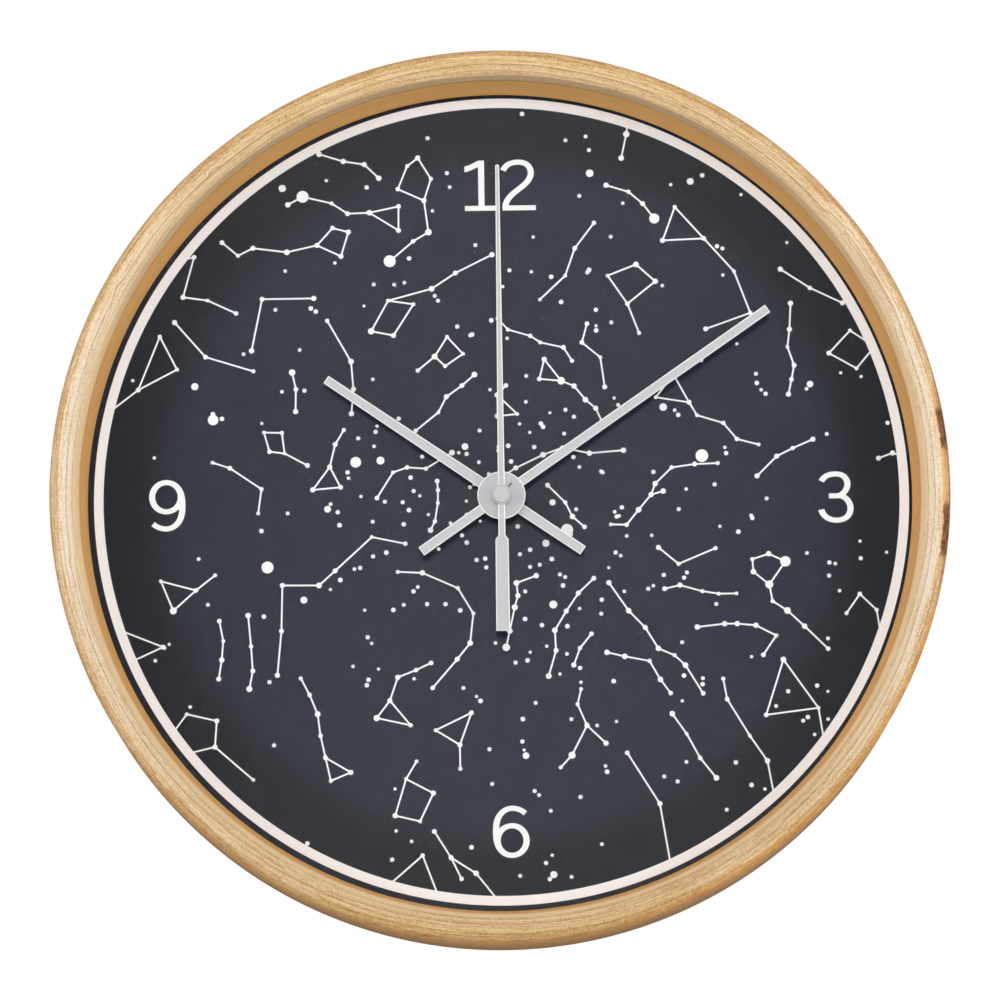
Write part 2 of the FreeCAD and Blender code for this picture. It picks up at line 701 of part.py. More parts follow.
def movement_case():
    """An open tray: wheel room above, cell bay below, hanger tab on top."""
    shell = rounded_block(CASE_HALF, -CASE_HALF, CASE_HALF, CASE_FRONT, CASE_BACK, CASE_CORNER)
    room = box(-CASE_INNER, CASE_INNER, PLATE_BACK, CASE_BACK + CUT, PARTITION_TOP, CASE_INNER)
    bay = box(-CASE_INNER, CASE_INNER, PLATE_BACK, CASE_BACK + CUT, -CASE_INNER, BAY_TOP)
    shell = shell.cut([room, bay])
    posts = [disc(POST_R, PLATE_BACK - PRESS, MIDDLE_PLATE_Y, at) for at in post_places()]
    posts += [disc(PEG_R, MIDDLE_PLATE_Y, MIDDLE_PLATE_END, at) for at in post_places()]
    posts += [disc(POST_R, PLATE_BACK - PRESS, CIRCUIT_Y, at) for at in circuit_posts()]
    shell = shell.fuse(posts + [hanger()])
    notch_w = CONTACT_W + SLACK * 2
    cuts = [disc(BUSH_R + SLACK, CASE_FRONT - CUT, PLATE_BACK + CUT),
            disc(BUSH_FLANGE_R + PRESS, PLATE_BACK - BUSH_FLANGE_T, PLATE_BACK + CUT),
            disc(STEM_PIVOT_R + RUN, PLATE_BACK - STEM_PIVOT_L, PLATE_BACK + CUT, MOTION)]
    for side in (-1, 1):
        x0, x1 = sorted((side * (CASE_INNER - CONTACT_T - SLACK), side * CASE_INNER))
        cuts.append(box(x0, x1, CELL_Y - notch_w / 2, CELL_Y + notch_w / 2, BAY_TOP - CUT,
                        PARTITION_TOP + CUT))
        x0, x1 = sorted((side * (CASE_INNER - CUT), side * (CASE_HALF + CUT)))
        for z in tongue_places():
            cuts.append(box(x0, x1, LID_FRONT - TONGUE_LEG - SLACK, LID_FRONT - TONGUE_LEG
                            + TONGUE_T + SLACK, z - TONGUE_W / 2 - SLACK, z + TONGUE_W / 2 + SLACK))
    return shell.cut(cuts).removeSplitter()


def tongue_places():
    """Heights of the lid's snap tongues on either side."""
    return (PARTITION_TOP + TONGUE_W, CASE_INNER - TONGUE_W - CASE_CORNER)


def movement_cover():
    """The lid over the wheels, with bearing bosses inside and snap tongues at its sides."""
    half = CASE_INNER - SLACK / 2
    lid = box(-half, half, LID_FRONT, CASE_BACK, PARTITION_TOP + SLACK / 2, half)
    added = [disc(BOSS_R, LID_FRONT - BOSS_H, LID_FRONT + PRESS, at)
             for at in (CENTRE, THIRD, INTERMEDIATE, ROTOR)]
    for side in (-1, 1):
        x0, x1 = sorted((side * half, side * (half - TONGUE_T)))
        b0, b1 = sorted((side * half, side * (half + TONGUE_BARB)))
        for z in tongue_places():
            z0, z1 = z - TONGUE_W / 2, z + TONGUE_W / 2
            added.append(box(x0, x1, LID_FRONT - TONGUE_LEG, LID_FRONT + PRESS, z0, z1))
            added.append(box(b0, b1, LID_FRONT - TONGUE_LEG, LID_FRONT - TONGUE_LEG + TONGUE_T,
                             z0, z1))
    bores = [disc(r + RUN, LID_FRONT - BOSS_H - CUT, LID_FRONT - BOSS_H + BEARING_DEPTH, at)
             for r, at in ((SECONDS_ARBOR_R, CENTRE), (PIVOT_R, THIRD),
                           (PIVOT_R, INTERMEDIATE), (PIVOT_R, ROTOR))]
    bores.append(disc(STEM_R + RUN, LID_FRONT - CUT, CASE_BACK + CUT, MOTION))
    return lid.fuse(added).cut(bores).removeSplitter()


def middle_plate():
    """The bridge between the motion work and the going train, on the case's posts."""
    places = post_places()
    x0 = min(x for x, z in places) - POST_R
    x1 = max(x for x, z in places) + POST_R
    z0 = min(z for x, z in places) - POST_R
    z1 = max(max(z for x, z in places) + POST_R, STATOR_BAR_Z + STATOR_BAR_W)
    plate = box(x0, x1, MIDDLE_PLATE_Y, MIDDLE_PLATE_END, z0, z1)
    pads = [disc(STATOR_BAR_W / 2 - SLACK, MIDDLE_PLATE_END - PRESS, STATOR_Y, at)
            for at in stator_pegs()]
    bores = [(MINUTE_JOURNAL_R, CENTRE), (THIRD_JOURNAL_R, THIRD), (PIVOT_R, INTERMEDIATE),
             (PIVOT_R, ROTOR), (STEM_R, MOTION)]
    cuts = [disc(r + RUN, MIDDLE_PLATE_Y - CUT, MIDDLE_PLATE_END + CUT, at) for r, at in bores]
    cuts += [disc(PEG_R + RUN, MIDDLE_PLATE_Y - CUT, MIDDLE_PLATE_END + CUT, at)
             for at in places]
    return plate.fuse(pads).cut(cuts).removeSplitter()


# Handshaft bush, washers and nut

def threaded_bush():
    """A flanged sleeve with a ridged thread outside and the hour pipe's bore inside."""
    front, flange = -BUSH_REACH, PLATE_BACK - BUSH_FLANGE_T
    outline = [(HOUR_PIPE_R + BUSH_BORE_PLAY, front)]
    turns = int((CASE_FRONT - front) / THREAD_PITCH)
    for k in range(turns):
        y = front + k * THREAD_PITCH
        outline += [(BUSH_R - THREAD_DEPTH, y), (BUSH_R, y + THREAD_PITCH / 2)]
    outline += [(BUSH_R - THREAD_DEPTH, front + turns * THREAD_PITCH), (BUSH_R, CASE_FRONT),
                (BUSH_R, flange), (BUSH_FLANGE_R, flange), (BUSH_FLANGE_R, PLATE_BACK),
                (HOUR_PIPE_R + BUSH_BORE_PLAY, PLATE_BACK)]
    return turned(outline)


def hex_nut():
    """A hexagon with its outer corners eased by a cone, bored to the thread."""
    corner = NUT_FLATS / math.sqrt(3)
    nut = prism([polar(corner, 60 * k) for k in range(6)], -WASHER_T - NUT_T, -WASHER_T)
    ease = corner - NUT_FLATS / 2
    round_off = turned([(0, -WASHER_T), (corner + PRESS, -WASHER_T),
                        (corner + PRESS, -WASHER_T - NUT_T + ease / 2),
                        (NUT_FLATS / 2, -WASHER_T - NUT_T), (0, -WASHER_T - NUT_T)])
    return nut.common(round_off).cut(disc(BUSH_R + RUN, -WASHER_T - NUT_T - CUT, CUT))


# Wheel train

CANNON_MODULE = module_of(MOTION_DISTANCE, CANNON_TEETH, MINUTE_WHEEL_TEETH)
HOUR_MODULE = module_of(MOTION_DISTANCE, MINUTE_PINION_TEETH, HOUR_WHEEL_TEETH)
CENTRE_MODULE = module_of(TRAIN_DISTANCE, THIRD_PINION_TEETH, CENTRE_WHEEL_TEETH)
THIRD_MODULE = module_of(TRAIN_DISTANCE, SECONDS_PINION_TEETH, THIRD_WHEEL_TEETH)
FOURTH_MODULE = module_of(FOURTH_DISTANCE, INTERMEDIATE_PINION_TEETH, SECONDS_WHEEL_TEETH)
ROTOR_MODULE = module_of(ROTOR_DISTANCE, ROTOR_PINION_TEETH, INTERMEDIATE_WHEEL_TEETH)
HOUR_END = -HOUR_HEIGHT - HAND_T
MINUTE_END = -MINUTE_HEIGHT - HAND_T


def hour_wheel():
    """The hour wheel with the pipe that carries the hour hand."""
    wheel = gear(HOUR_WHEEL_TEETH, HOUR_MODULE, HOUR_WHEEL_Y, HOUR_WHEEL_Y + WHEEL_T, CENTRE,
                 MOTION_DEG)
    pipe = disc(HOUR_PIPE_R, HOUR_END, HOUR_WHEEL_Y + PRESS)
    return wheel.fuse(pipe).cut(disc(MINUTE_TUBE_R + RUN, HOUR_END - CUT, CANNON_Y + CUT))


def minute_tube():
    """The cannon pinion with the tube that carries the minute hand."""
    pinion_end = MINUTE_WHEEL_Y + WHEEL_T + END_PLAY
    pinion = gear(CANNON_TEETH, CANNON_MODULE, CANNON_Y, pinion_end, CENTRE, MOTION_DEG)
    sleeve = disc(MINUTE_TUBE_R, MINUTE_END, CENTRE_HUB_END - END_PLAY)
    journal = disc(MINUTE_JOURNAL_R, CENTRE_HUB_END - CUT, MIDDLE_PLATE_END)
    bore = disc(SECONDS_ARBOR_R + RUN, MINUTE_END - CUT, MIDDLE_PLATE_END + CUT)
    return pinion.fuse([sleeve, journal]).cut(bore)


def minute_wheel():
    """The wheel and pinion of the motion work, pressed on the setting stem."""
    wheel = gear(MINUTE_WHEEL_TEETH, CANNON_MODULE, MINUTE_WHEEL_Y, MINUTE_WHEEL_Y + WHEEL_T,
                 MOTION, MOTION_DEG + 180, True)
    pinion = gear(MINUTE_PINION_TEETH, HOUR_MODULE, HOUR_WHEEL_Y - END_PLAY / 2,
                  MINUTE_WHEEL_Y + PRESS, MOTION, MOTION_DEG + 180, True)
    bore = disc(STEM_R + PRESS, CASE_FRONT, MIDDLE_PLATE_Y, MOTION)
    return wheel.fuse(pinion).cut(bore)


def setting_knob():
    """The knob behind the case, in one piece with the stem of the minute wheel."""
    y0 = CASE_BACK + END_PLAY
    y1 = y0 + KNOB_T
    flutes = []
    for k in range(KNOB_FLUTES):
        for share, depth in KNOB_FLUTE_SHARES:
            flutes.append(polar(KNOB_R - depth * KNOB_FLUTE_DEPTH,
                                360 * (k + share) / KNOB_FLUTES, MOTION))
    knob = prism(flutes, y0, y1)
    dish = disc(KNOB_R - KNOB_T, y1 - KNOB_DISH, y1 + CUT, MOTION)
    collar = disc(KNOB_R / 2, CASE_BACK + SLACK, y0 + PRESS, MOTION)
    stem = disc(STEM_R, PLATE_BACK + RUN, y0 + PRESS, MOTION)
    pivot = disc(STEM_PIVOT_R, PLATE_BACK - STEM_PIVOT_L + RUN, PLATE_BACK + CUT, MOTION)
    return knob.cut(dish).fuse([collar, stem, pivot])


def centre_wheel():
    """The wheel that turns once an hour and drives the cannon pinion by friction."""
    wheel = gear(CENTRE_WHEEL_TEETH, CENTRE_MODULE, CENTRE_WHEEL_Y, CENTRE_WHEEL_Y + WHEEL_T,
                 CENTRE, THIRD_DEG)
    hub = disc(CENTRE_HUB_R, CENTRE_HUB_Y, CENTRE_HUB_END)
    return wheel.fuse(hub).cut(disc(MINUTE_TUBE_R + RUN, CENTRE_HUB_Y - CUT,
                                    CENTRE_HUB_END + CUT))


def third_wheel():
    """Wheel behind the middle plate, pinion in front of it, and a pivot in the lid."""
    pinion = gear(THIRD_PINION_TEETH, CENTRE_MODULE, CENTRE_WHEEL_Y - END_PLAY,
                  CENTRE_HUB_END, THIRD, THIRD_DEG + 180, True)
    wheel = gear(THIRD_WHEEL_TEETH, THIRD_MODULE, THIRD_WHEEL_Y, THIRD_WHEEL_Y + WHEEL_T, THIRD,
                 THIRD_DEG + 180, True)
    journal = disc(THIRD_JOURNAL_R, CENTRE_HUB_END - PRESS, THIRD_WHEEL_Y + PRESS, THIRD)
    pivot = disc(PIVOT_R, THIRD_WHEEL_Y, ARBOR_END, THIRD)
    return pinion.fuse([wheel, journal, pivot])


def seconds_wheel():
    """Wheel and pinion moulded on the seconds arbor."""
    pinion = gear(SECONDS_PINION_TEETH, THIRD_MODULE, SECONDS_PINION_Y, SECONDS_WHEEL_Y + PRESS,
                  CENTRE, THIRD_DEG)
    wheel = gear(SECONDS_WHEEL_TEETH, FOURTH_MODULE, SECONDS_WHEEL_Y, SECONDS_WHEEL_Y + WHEEL_T,
                 CENTRE, INTERMEDIATE_DEG)
    bore = disc(SECONDS_ARBOR_R + PRESS, SECONDS_PINION_Y - CUT, TRAIN_END)
    return pinion.fuse(wheel).cut(bore)


def seconds_arbor():
    """The steel pin that runs from the lid to the seconds hand."""
    return disc(SECONDS_ARBOR_R, -SECONDS_HEIGHT - SECONDS_T, ARBOR_END)


def intermediate_wheel():
    """Wheel, pinion and pivots between the rotor and the seconds wheel."""
    pinion = gear(INTERMEDIATE_PINION_TEETH, FOURTH_MODULE, INTERMEDIATE_PINION_Y,
                  INTERMEDIATE_WHEEL_Y + PRESS, INTERMEDIATE, INTERMEDIATE_DEG + 180, True)
    wheel = gear(INTERMEDIATE_WHEEL_TEETH, ROTOR_MODULE, INTERMEDIATE_WHEEL_Y,
                 INTERMEDIATE_WHEEL_Y + WHEEL_T, INTERMEDIATE, ROTOR_DEG)
    arbor = disc(PIVOT_R, MIDDLE_PLATE_Y, ARBOR_END, INTERMEDIATE)
    return pinion.fuse([wheel, arbor])


def rotor_pinion():
    """The rotor's pinion, hub and pivots."""
    pinion = gear(ROTOR_PINION_TEETH, ROTOR_MODULE, ROTOR_PINION_Y, TRAIN_END, ROTOR,
                  ROTOR_DEG + 180, True)
    hub = disc(MAGNET_HUB_R, MAGNET_Y, ROTOR_PINION_Y + PRESS, ROTOR)
    arbor = disc(PIVOT_R, MIDDLE_PLATE_Y, ARBOR_END, ROTOR)
    return pinion.fuse([hub, arbor])


def rotor_magnet():
    return tube(MAGNET_R, MAGNET_HUB_R + PRESS, MAGNET_Y, MAGNET_Y + MAGNET_T, ROTOR)


# Stator, coil and circuit board

STATOR_HOLE_R = MAGNET_R + STATOR_GAP
STATOR_X0 = ROTOR[0] - STATOR_LEFT
STATOR_X1 = ROTOR[0] + STATOR_RIGHT
STATOR_BAR_Z = ROTOR[1] + STATOR_GAP


def stator_pegs():
    """Where the stator's legs stand on the middle plate's pads."""
    z = STATOR_BAR_Z + STATOR_BAR_W / 2
    return [(STATOR_X0 + STATOR_BAR_W / 2, z), (STATOR_X1 - STATOR_BAR_W * STATOR_PEG_SHARE, z)]


def stator_plate():
    """A soft-iron yoke: a ring round the rotor, a bar under it and two legs up to the core."""
    y0, y1 = STATOR_Y, STATOR_Y + STATOR_T
    top = COIL_Z + STATOR_BAR_W / 2
    bar = box(STATOR_X0, STATOR_X1, y0, y1, STATOR_BAR_Z, STATOR_BAR_Z + STATOR_BAR_W)
    legs = [box(x, x + STATOR_BAR_W, y0, y1, STATOR_BAR_Z, top)
            for x in (STATOR_X0, STATOR_X1 - STATOR_BAR_W)]
    around = disc(STATOR_HOLE_R + STATOR_RING_W, y0, y1, ROTOR)
    yoke = bar.fuse(legs + [around])
    return yoke.cut(disc(STATOR_HOLE_R, y0 - CUT, y1 + CUT, ROTOR)).removeSplitter()


def coil_core():
    """The flat bar through the coil, lying on the stator's legs."""
    return box(STATOR_X0, STATOR_X1, CORE_Y, CORE_Y + STATOR_T, COIL_Z - STATOR_BAR_W / 2,
               COIL_Z + STATOR_BAR_W / 2)


def along_x(radius, x0, x1, y, z):
    """A round bar along X."""
    return Part.makeCylinder(radius, x1 - x0, vec(x0, y, z), vec(1, 0, 0))


def coil_span():
    return STATOR_X0 + STATOR_BAR_W + BOBBIN_PLAY, STATOR_X1 - STATOR_BAR_W - BOBBIN_PLAY


def coil_bobbin():
    """A flanged sleeve on the core."""
    x0, x1 = coil_span()
    y = CORE_Y + STATOR_T / 2
    body = along_x(BOBBIN_R, x0, x1, y, COIL_Z)
    flanges = [along_x(COIL_R, x, x + BOBBIN_FLANGE_T, y, COIL_Z)
               for x in (x0, x1 - BOBBIN_FLANGE_T)]
    slot = box(x0 - CUT, x1 + CUT, CORE_Y - PRESS, CORE_Y + STATOR_T + PRESS,
               COIL_Z - STATOR_BAR_W / 2 - PRESS, COIL_Z + STATOR_BAR_W / 2 + PRESS)
    return body.fuse(flanges).cut(slot)


def coil_winding():
    """The wound wire between the bobbin's flanges, as one sleeve."""
    x0, x1 = coil_span()
    y = CORE_Y + STATOR_T / 2
    x0 += BOBBIN_FLANGE_T + PRESS
    x1 -= BOBBIN_FLANGE_T + PRESS
    outer = along_x(COIL_R - END_PLAY, x0, x1, y, COIL_Z)
    return outer.cut(along_x(BOBBIN_R + PRESS, x0 - CUT, x1 + CUT, y, COIL_Z))


def circuit_board():
    return box(CIRCUIT_LEFT, CIRCUIT_LEFT + CIRCUIT_W, CIRCUIT_Y, CIRCUIT_Y + CIRCUIT_T,
               CIRCUIT_TOP - CIRCUIT_H, CIRCUIT_TOP)


def quartz_crystal():
    """The crystal's can, lying on the circuit board."""
    x0 = CIRCUIT_LEFT + CIRCUIT_W - CRYSTAL_L - CRYSTAL_R
    y = CIRCUIT_Y + CIRCUIT_T + CRYSTAL_R + PRESS
    can = along_x(CRYSTAL_R, x0, x0 + CRYSTAL_L, y, CIRCUIT_TOP - CIRCUIT_H / 2 - CRYSTAL_R)
    return can.makeChamfer(CRYSTAL_R / 4, [e for e in can.Edges if e.isClosed()])


def chip():
    """The chip under its low round drop of resin."""
    y0 = CIRCUIT_Y + CIRCUIT_T
    at = (CIRCUIT_LEFT + CIRCUIT_W * CHIP_PLACE_SHARE, CIRCUIT_TOP - CIRCUIT_H / 2)
    return turned([(CHIP_R * r, y0 + CHIP_T * h) for r, h in CHIP_OUTLINE_SHARES], at)


# Cell and its contacts

def contact(side):
    """A strip on the bay's end wall with a spring tongue that bears on the cell."""
    wall, face = sorted((side * CASE_INNER, side * (CASE_INNER - CONTACT_T)))
    y0, y1 = CELL_Y - CONTACT_W / 2, CELL_Y + CONTACT_W / 2
    z0 = -CASE_INNER + PRESS
    inner = side * (CASE_INNER - CONTACT_T)
    reach = inner - side * CONTACT_SPRING
    low, high = CELL_Z - CONTACT_W, CELL_Z + CONTACT_W
    loop = [(inner, low), (reach, CELL_Z - CONTACT_W / 3), (reach, CELL_Z + CONTACT_W / 3),
            (inner, high), (inner, high - CONTACT_T), (reach + side * CONTACT_T,
            CELL_Z + CONTACT_W / 3 - CONTACT_T / 2), (reach + side * CONTACT_T,
            CELL_Z - CONTACT_W / 3 + CONTACT_T / 2), (inner, low + CONTACT_T)]
    return box(wall, face, y0, y1, z0, PARTITION_TOP + CONTACT_W).fuse(prism(loop, y0, y1))


def negative_contact():
    """The spring contact at the left, with a lead up to the circuit board's edge."""
    wall, face = sorted((-CASE_INNER, -CASE_INNER + CONTACT_T))
    lead = box(wall, face, CIRCUIT_Y - LEAD_W / 2, CIRCUIT_Y + LEAD_W, PARTITION_TOP,
               CIRCUIT_TOP - CIRCUIT_H / 2)
    return contact(-1).fuse(lead).removeSplitter()


def positive_contact():
    """The contact at the right, with a lead along the partition and up to the circuit board."""
    lead_y0 = LID_FRONT - BOSS_H - LEAD_W / 2
    lead_y1 = lead_y0 + LEAD_W
    turn_x = CIRCUIT_LEFT + CONTACT_W
    low = PARTITION_TOP + SLACK
    wall = CASE_INNER
    riser = box(wall - CONTACT_T, wall, CELL_Y, lead_y1, low, low + LEAD_W)
    along = box(turn_x, wall, lead_y0, lead_y1, low, low + CONTACT_T)
    up = box(turn_x, turn_x + CONTACT_T, lead_y0, lead_y1, low, CIRCUIT_TOP - CIRCUIT_H / 2)
    foot = box(turn_x, turn_x + CONTACT_T, CIRCUIT_Y + CIRCUIT_T + PRESS, lead_y1,
               CIRCUIT_TOP - CIRCUIT_H / 2 - LEAD_W, CIRCUIT_TOP - CIRCUIT_H / 2)
    return contact(1).fuse([riser, along, up, foot]).removeSplitter()


def battery_cell():
    """The steel can with its positive nub, along X."""
    can = along_x(CELL_R, CELL_X0, CELL_X0 + CELL_L, CELL_Y, CELL_Z)
    nub = along_x(CELL_NUB_R, CELL_X0, CELL_X0 + CELL_L + CELL_NUB_L, CELL_Y, CELL_Z)
    return can.fuse(nub)


def battery_sleeve():
    """The thin printed wrapper shrunk over the can."""
    x0 = CELL_X0 - SLEEVE_T
    x1 = x0 + CELL_L + SLEEVE_T * 2
    bore = along_x(CELL_R, x0 + SLEEVE_T, x1 - SLEEVE_T, CELL_Y, CELL_Z)
    ends = along_x(CELL_R - SLEEVE_LIP, x0 - CUT, x1 + CUT, CELL_Y, CELL_Z)
    return along_x(CELL_R + SLEEVE_T, x0, x1, CELL_Y, CELL_Z).cut([bore, ends])


# Hands

def hand_bar(points, height, thick):
    """A flat hand pointing up, from its half outline of half-width and z, bottom to top."""
    right = [(w / 2, z) for w, z in points]
    left = [(-x, z) for x, z in reversed(right)]
    return prism(right + left, -height - thick, -height)


def hour_hand():
    bar = hand_bar([(HOUR_TAIL_W, -HOUR_TAIL), (HOUR_HUB_W, 0), (HOUR_TIP_W, HOUR_LEN)],
                   HOUR_HEIGHT, HAND_T)
    collar = disc(HOUR_COLLAR_R, -HOUR_HEIGHT - HAND_T, -HOUR_HEIGHT + HOUR_COLLAR_H)
    bore = disc(HOUR_PIPE_R + PRESS, HOUR_END - CUT, CUT)
    hand = bar.fuse(collar).cut(bore).removeSplitter()
    return hour_turn(hand, HOURS_SHOWN * 30 + MINUTE_DEG / 12)


def minute_hand():
    """A straight bar with a low domed disc at its hub and a small slot in the disc."""
    bar = hand_bar([(MINUTE_TAIL_W, -MINUTE_TAIL), (MINUTE_HUB_W, 0),
                    (MINUTE_TIP_W, MINUTE_LEN)], MINUTE_HEIGHT, HAND_T)
    back = -MINUTE_HEIGHT
    rim = back - HAND_T
    halfway = vec(HUB_DISC_R / 2, rim - HUB_DOME * DOME_HALFWAY_SHARE, 0)
    dome = Part.Arc(vec(HUB_DISC_R, rim, 0), halfway, vec(0, rim - HUB_DOME, 0)).toShape()
    sides = Part.makePolygon([vec(0, rim - HUB_DOME, 0), vec(0, back, 0),
                              vec(HUB_DISC_R, back, 0), vec(HUB_DISC_R, rim, 0)])
    hub = turned_face(Part.Wire([dome] + sides.Edges))
    collar = disc(MINUTE_COLLAR_R, back - PRESS, back + MINUTE_COLLAR_H)
    hand = bar.fuse([hub, collar])
    bore = disc(MINUTE_TUBE_R + PRESS, rim - HUB_DOME - CUT, back + MINUTE_COLLAR_H + CUT)
    mark = box(-HUB_MARK_L / 2, HUB_MARK_L / 2, rim - HUB_DOME - CUT, back + CUT,
               -HUB_MARK_W / 2, HUB_MARK_W / 2)
    mark.rotate(vec(0, 0, 0), Y_AXIS, -HUB_MARK_DEG)
    mark.translate(vec(HUB_MARK_X, 0, HUB_MARK_Z))
    return hour_turn(hand, MINUTE_DEG).cut([bore, mark]).removeSplitter()


def seconds_hand():
    """A thin pointer with a wide counterweight blade, on a short tube."""
    shoulder = -SECONDS_NECK - SECONDS_SHOULDER
    ease = SECONDS_TIP_W / 3
    bar = hand_bar([(SECONDS_BLADE_END_W, -SECONDS_BLADE), (SECONDS_BLADE_W, shoulder),
                    (SECONDS_HUB_W, -SECONDS_NECK), (SECONDS_HUB_W, 0),
                    (SECONDS_TIP_W, SECONDS_LEN - ease), (SECONDS_TIP_W / 2, SECONDS_LEN)],
                   SECONDS_HEIGHT, SECONDS_T)
    boss = disc(CAP_SHOULDER_R, -SECONDS_HEIGHT - SECONDS_T, -SECONDS_HEIGHT)
    sleeve = disc(SECONDS_TUBE_R, -SECONDS_HEIGHT - SECONDS_T, -SECONDS_HEIGHT + SECONDS_TUBE_H)
    bore = disc(SECONDS_ARBOR_R + PRESS, -SECONDS_HEIGHT - SECONDS_T - CUT, CUT)
    return bar.fuse([boss, sleeve]).cut(bore).removeSplitter()


def seconds_cap():
    """The turned button over the end of the arbor, with a low shoulder round it."""
    back = -SECONDS_HEIGHT - SECONDS_T
    front = back - CAP_T
    return turned([(0, back), (CAP_SHOULDER_R, back), (CAP_SHOULDER_R, back - CAP_SHOULDER_T),
                   (CAP_R, back - CAP_SHOULDER_T), (CAP_R, front + CAP_ROUND),
                   (CAP_R - CAP_ROUND, front), (0, front)])


def main():
    os.makedirs("parts", exist_ok=True)
    save("wood_frame", in_hoop(wood_frame()))
    save("lens", in_hoop(lens()))
    save("spacer_ring", in_hoop(spacer_ring()))
    save("dial_plate", dial_plate())
    save("dial_ring", dial_ring())
    save("dial_numerals", *dial_numerals())
    save("back_board", in_hoop(back_board()))
    angles = [clip_angle(k) for k in range(CLIP_COUNT)]
    save("board_clips", *[in_hoop(hour_turn(board_clip(), a)) for a in angles])
    save("clip_screws", *[in_hoop(hour_turn(clip_screw(), a)) for a in angles])
    save("movement_case", movement_case())
    save("movement_cover", movement_cover())
    save("middle_plate", middle_plate())
    save("threaded_bush", threaded_bush())
    save("rubber_washer", tube(RUBBER_R, BUSH_R + SLACK, DIAL_T, CASE_FRONT))
    save("brass_washer", tube(WASHER_R, BUSH_R + SLACK, -WASHER_T, 0))
    save("hex_nut", hex_nut())
    save("hour_wheel", hour_wheel())
    save("minute_tube", minute_tube())
    save("minute_wheel", minute_wheel())
    save("setting_knob", setting_knob())
    save("centre_wheel", centre_wheel())
    save("third_wheel", third_wheel())
    save("seconds_wheel", seconds_wheel())
    save("seconds_arbor", seconds_arbor())
    save("intermediate_wheel", intermediate_wheel())
    save("rotor_pinion", rotor_pinion())
    save("rotor_magnet", rotor_magnet())
    save("stator_plate", stator_plate())
    save("coil_core", coil_core())
    save("coil_bobbin", coil_bobbin())
    save("coil_winding", coil_winding())
    save("circuit_board", circuit_board())
    save("quartz_crystal", quartz_crystal())
    save("chip", chip())
    save("positive_contact", positive_contact())
    save("negative_contact", negative_contact())
    save("battery_cell", battery_cell())
    save("battery_sleeve", battery_sleeve())
    save("hour_hand", hour_hand())
    save("minute_hand", minute_hand())
    save("seconds_hand", seconds_hand())
    save("seconds_cap", seconds_cap())


main()
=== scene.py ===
# %% [markdown]
# A round wall clock: a hoop of laminated light wood, a dark blue dial printed with a made-up star
# chart, four numerals and three flat silver hands. The packed part gives every size and place.
# This script gives the pieces that show their edges, grain and finish, and lights them softly.

import math

import bpy
import numpy as np
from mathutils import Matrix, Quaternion, Vector


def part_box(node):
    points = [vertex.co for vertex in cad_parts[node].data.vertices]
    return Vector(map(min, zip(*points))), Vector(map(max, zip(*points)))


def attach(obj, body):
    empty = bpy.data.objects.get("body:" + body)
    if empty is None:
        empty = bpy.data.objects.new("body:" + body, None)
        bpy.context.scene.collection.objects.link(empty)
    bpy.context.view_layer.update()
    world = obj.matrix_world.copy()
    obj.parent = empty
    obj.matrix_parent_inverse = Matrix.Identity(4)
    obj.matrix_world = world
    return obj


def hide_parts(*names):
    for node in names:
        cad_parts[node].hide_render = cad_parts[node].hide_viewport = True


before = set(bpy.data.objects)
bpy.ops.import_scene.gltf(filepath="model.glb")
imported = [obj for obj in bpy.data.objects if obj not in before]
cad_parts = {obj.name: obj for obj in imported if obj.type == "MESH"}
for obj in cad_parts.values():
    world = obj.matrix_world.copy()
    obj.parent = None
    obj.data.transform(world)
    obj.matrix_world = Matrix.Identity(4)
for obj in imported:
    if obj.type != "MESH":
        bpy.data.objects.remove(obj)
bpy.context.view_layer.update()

# %% [markdown]
# Lengths are in metres, so a named millimetre keeps them readable. The places come from the boxes
# of the packed nodes. The hands turn on an axis that is not quite the middle of the hoop, as on
# the real clock, so both middles are worked out.

# %% Lengths and places
MM = 0.001


def middle(node):
    """The x and z of the middle of a node's box: half the sum of its low and high corners."""
    low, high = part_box(node)
    return np.array([(low.x + high.x) / 2, (low.z + high.z) / 2])


def round_size(node):
    """A round node's radius, front and back: half its width, and its low and high y."""
    low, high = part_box(node)
    return (high.x - low.x) / 2, low.y, high.y


HOOP = middle("wood_frame")
HUB = middle("dial_plate")
DIAL_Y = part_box("dial_plate")[0].y
print("hoop middle", HOOP, "hub", HUB, "dial", DIAL_Y)

# %% [markdown]
# A turned piece is an outline carried round an axis. A flat hand is an outline with a sloped edge.
# Both are worked out here as whole arrays: a shell is a pair of the points and of the face groups,
# where each group holds faces with one number of corners.

# %% Shells worked out as arrays
SAME_POINT = 1e-7


def eased(corners, radius, steps=5):
    """Round the corners of a closed outline. Each corner p becomes (1-t)^2 a + 2t(1-t) p + t^2 b,
    where a and b lie on its two sides, a radius away or half the side if that is less."""
    p = np.asarray(corners, float)
    reach = np.broadcast_to(radius, len(p)).reshape(-1, 1)
    ends = []
    for shift in (1, -1):
        side = np.roll(p, shift, 0) - p
        length = np.linalg.norm(side, axis=1, keepdims=True)
        ends.append(p + side / length * np.minimum(reach, length / 2))
    t = np.linspace(0, 1, steps)[None, :, None]
    a, b = ends[0][:, None], ends[1][:, None]
    curve = ((1 - t) ** 2 * a + 2 * t * (1 - t) * p[:, None] + t ** 2 * b).reshape(-1, 2)
    moved = np.linalg.norm(curve - np.roll(curve, 1, 0), axis=1)
    return curve[moved > SAME_POINT]


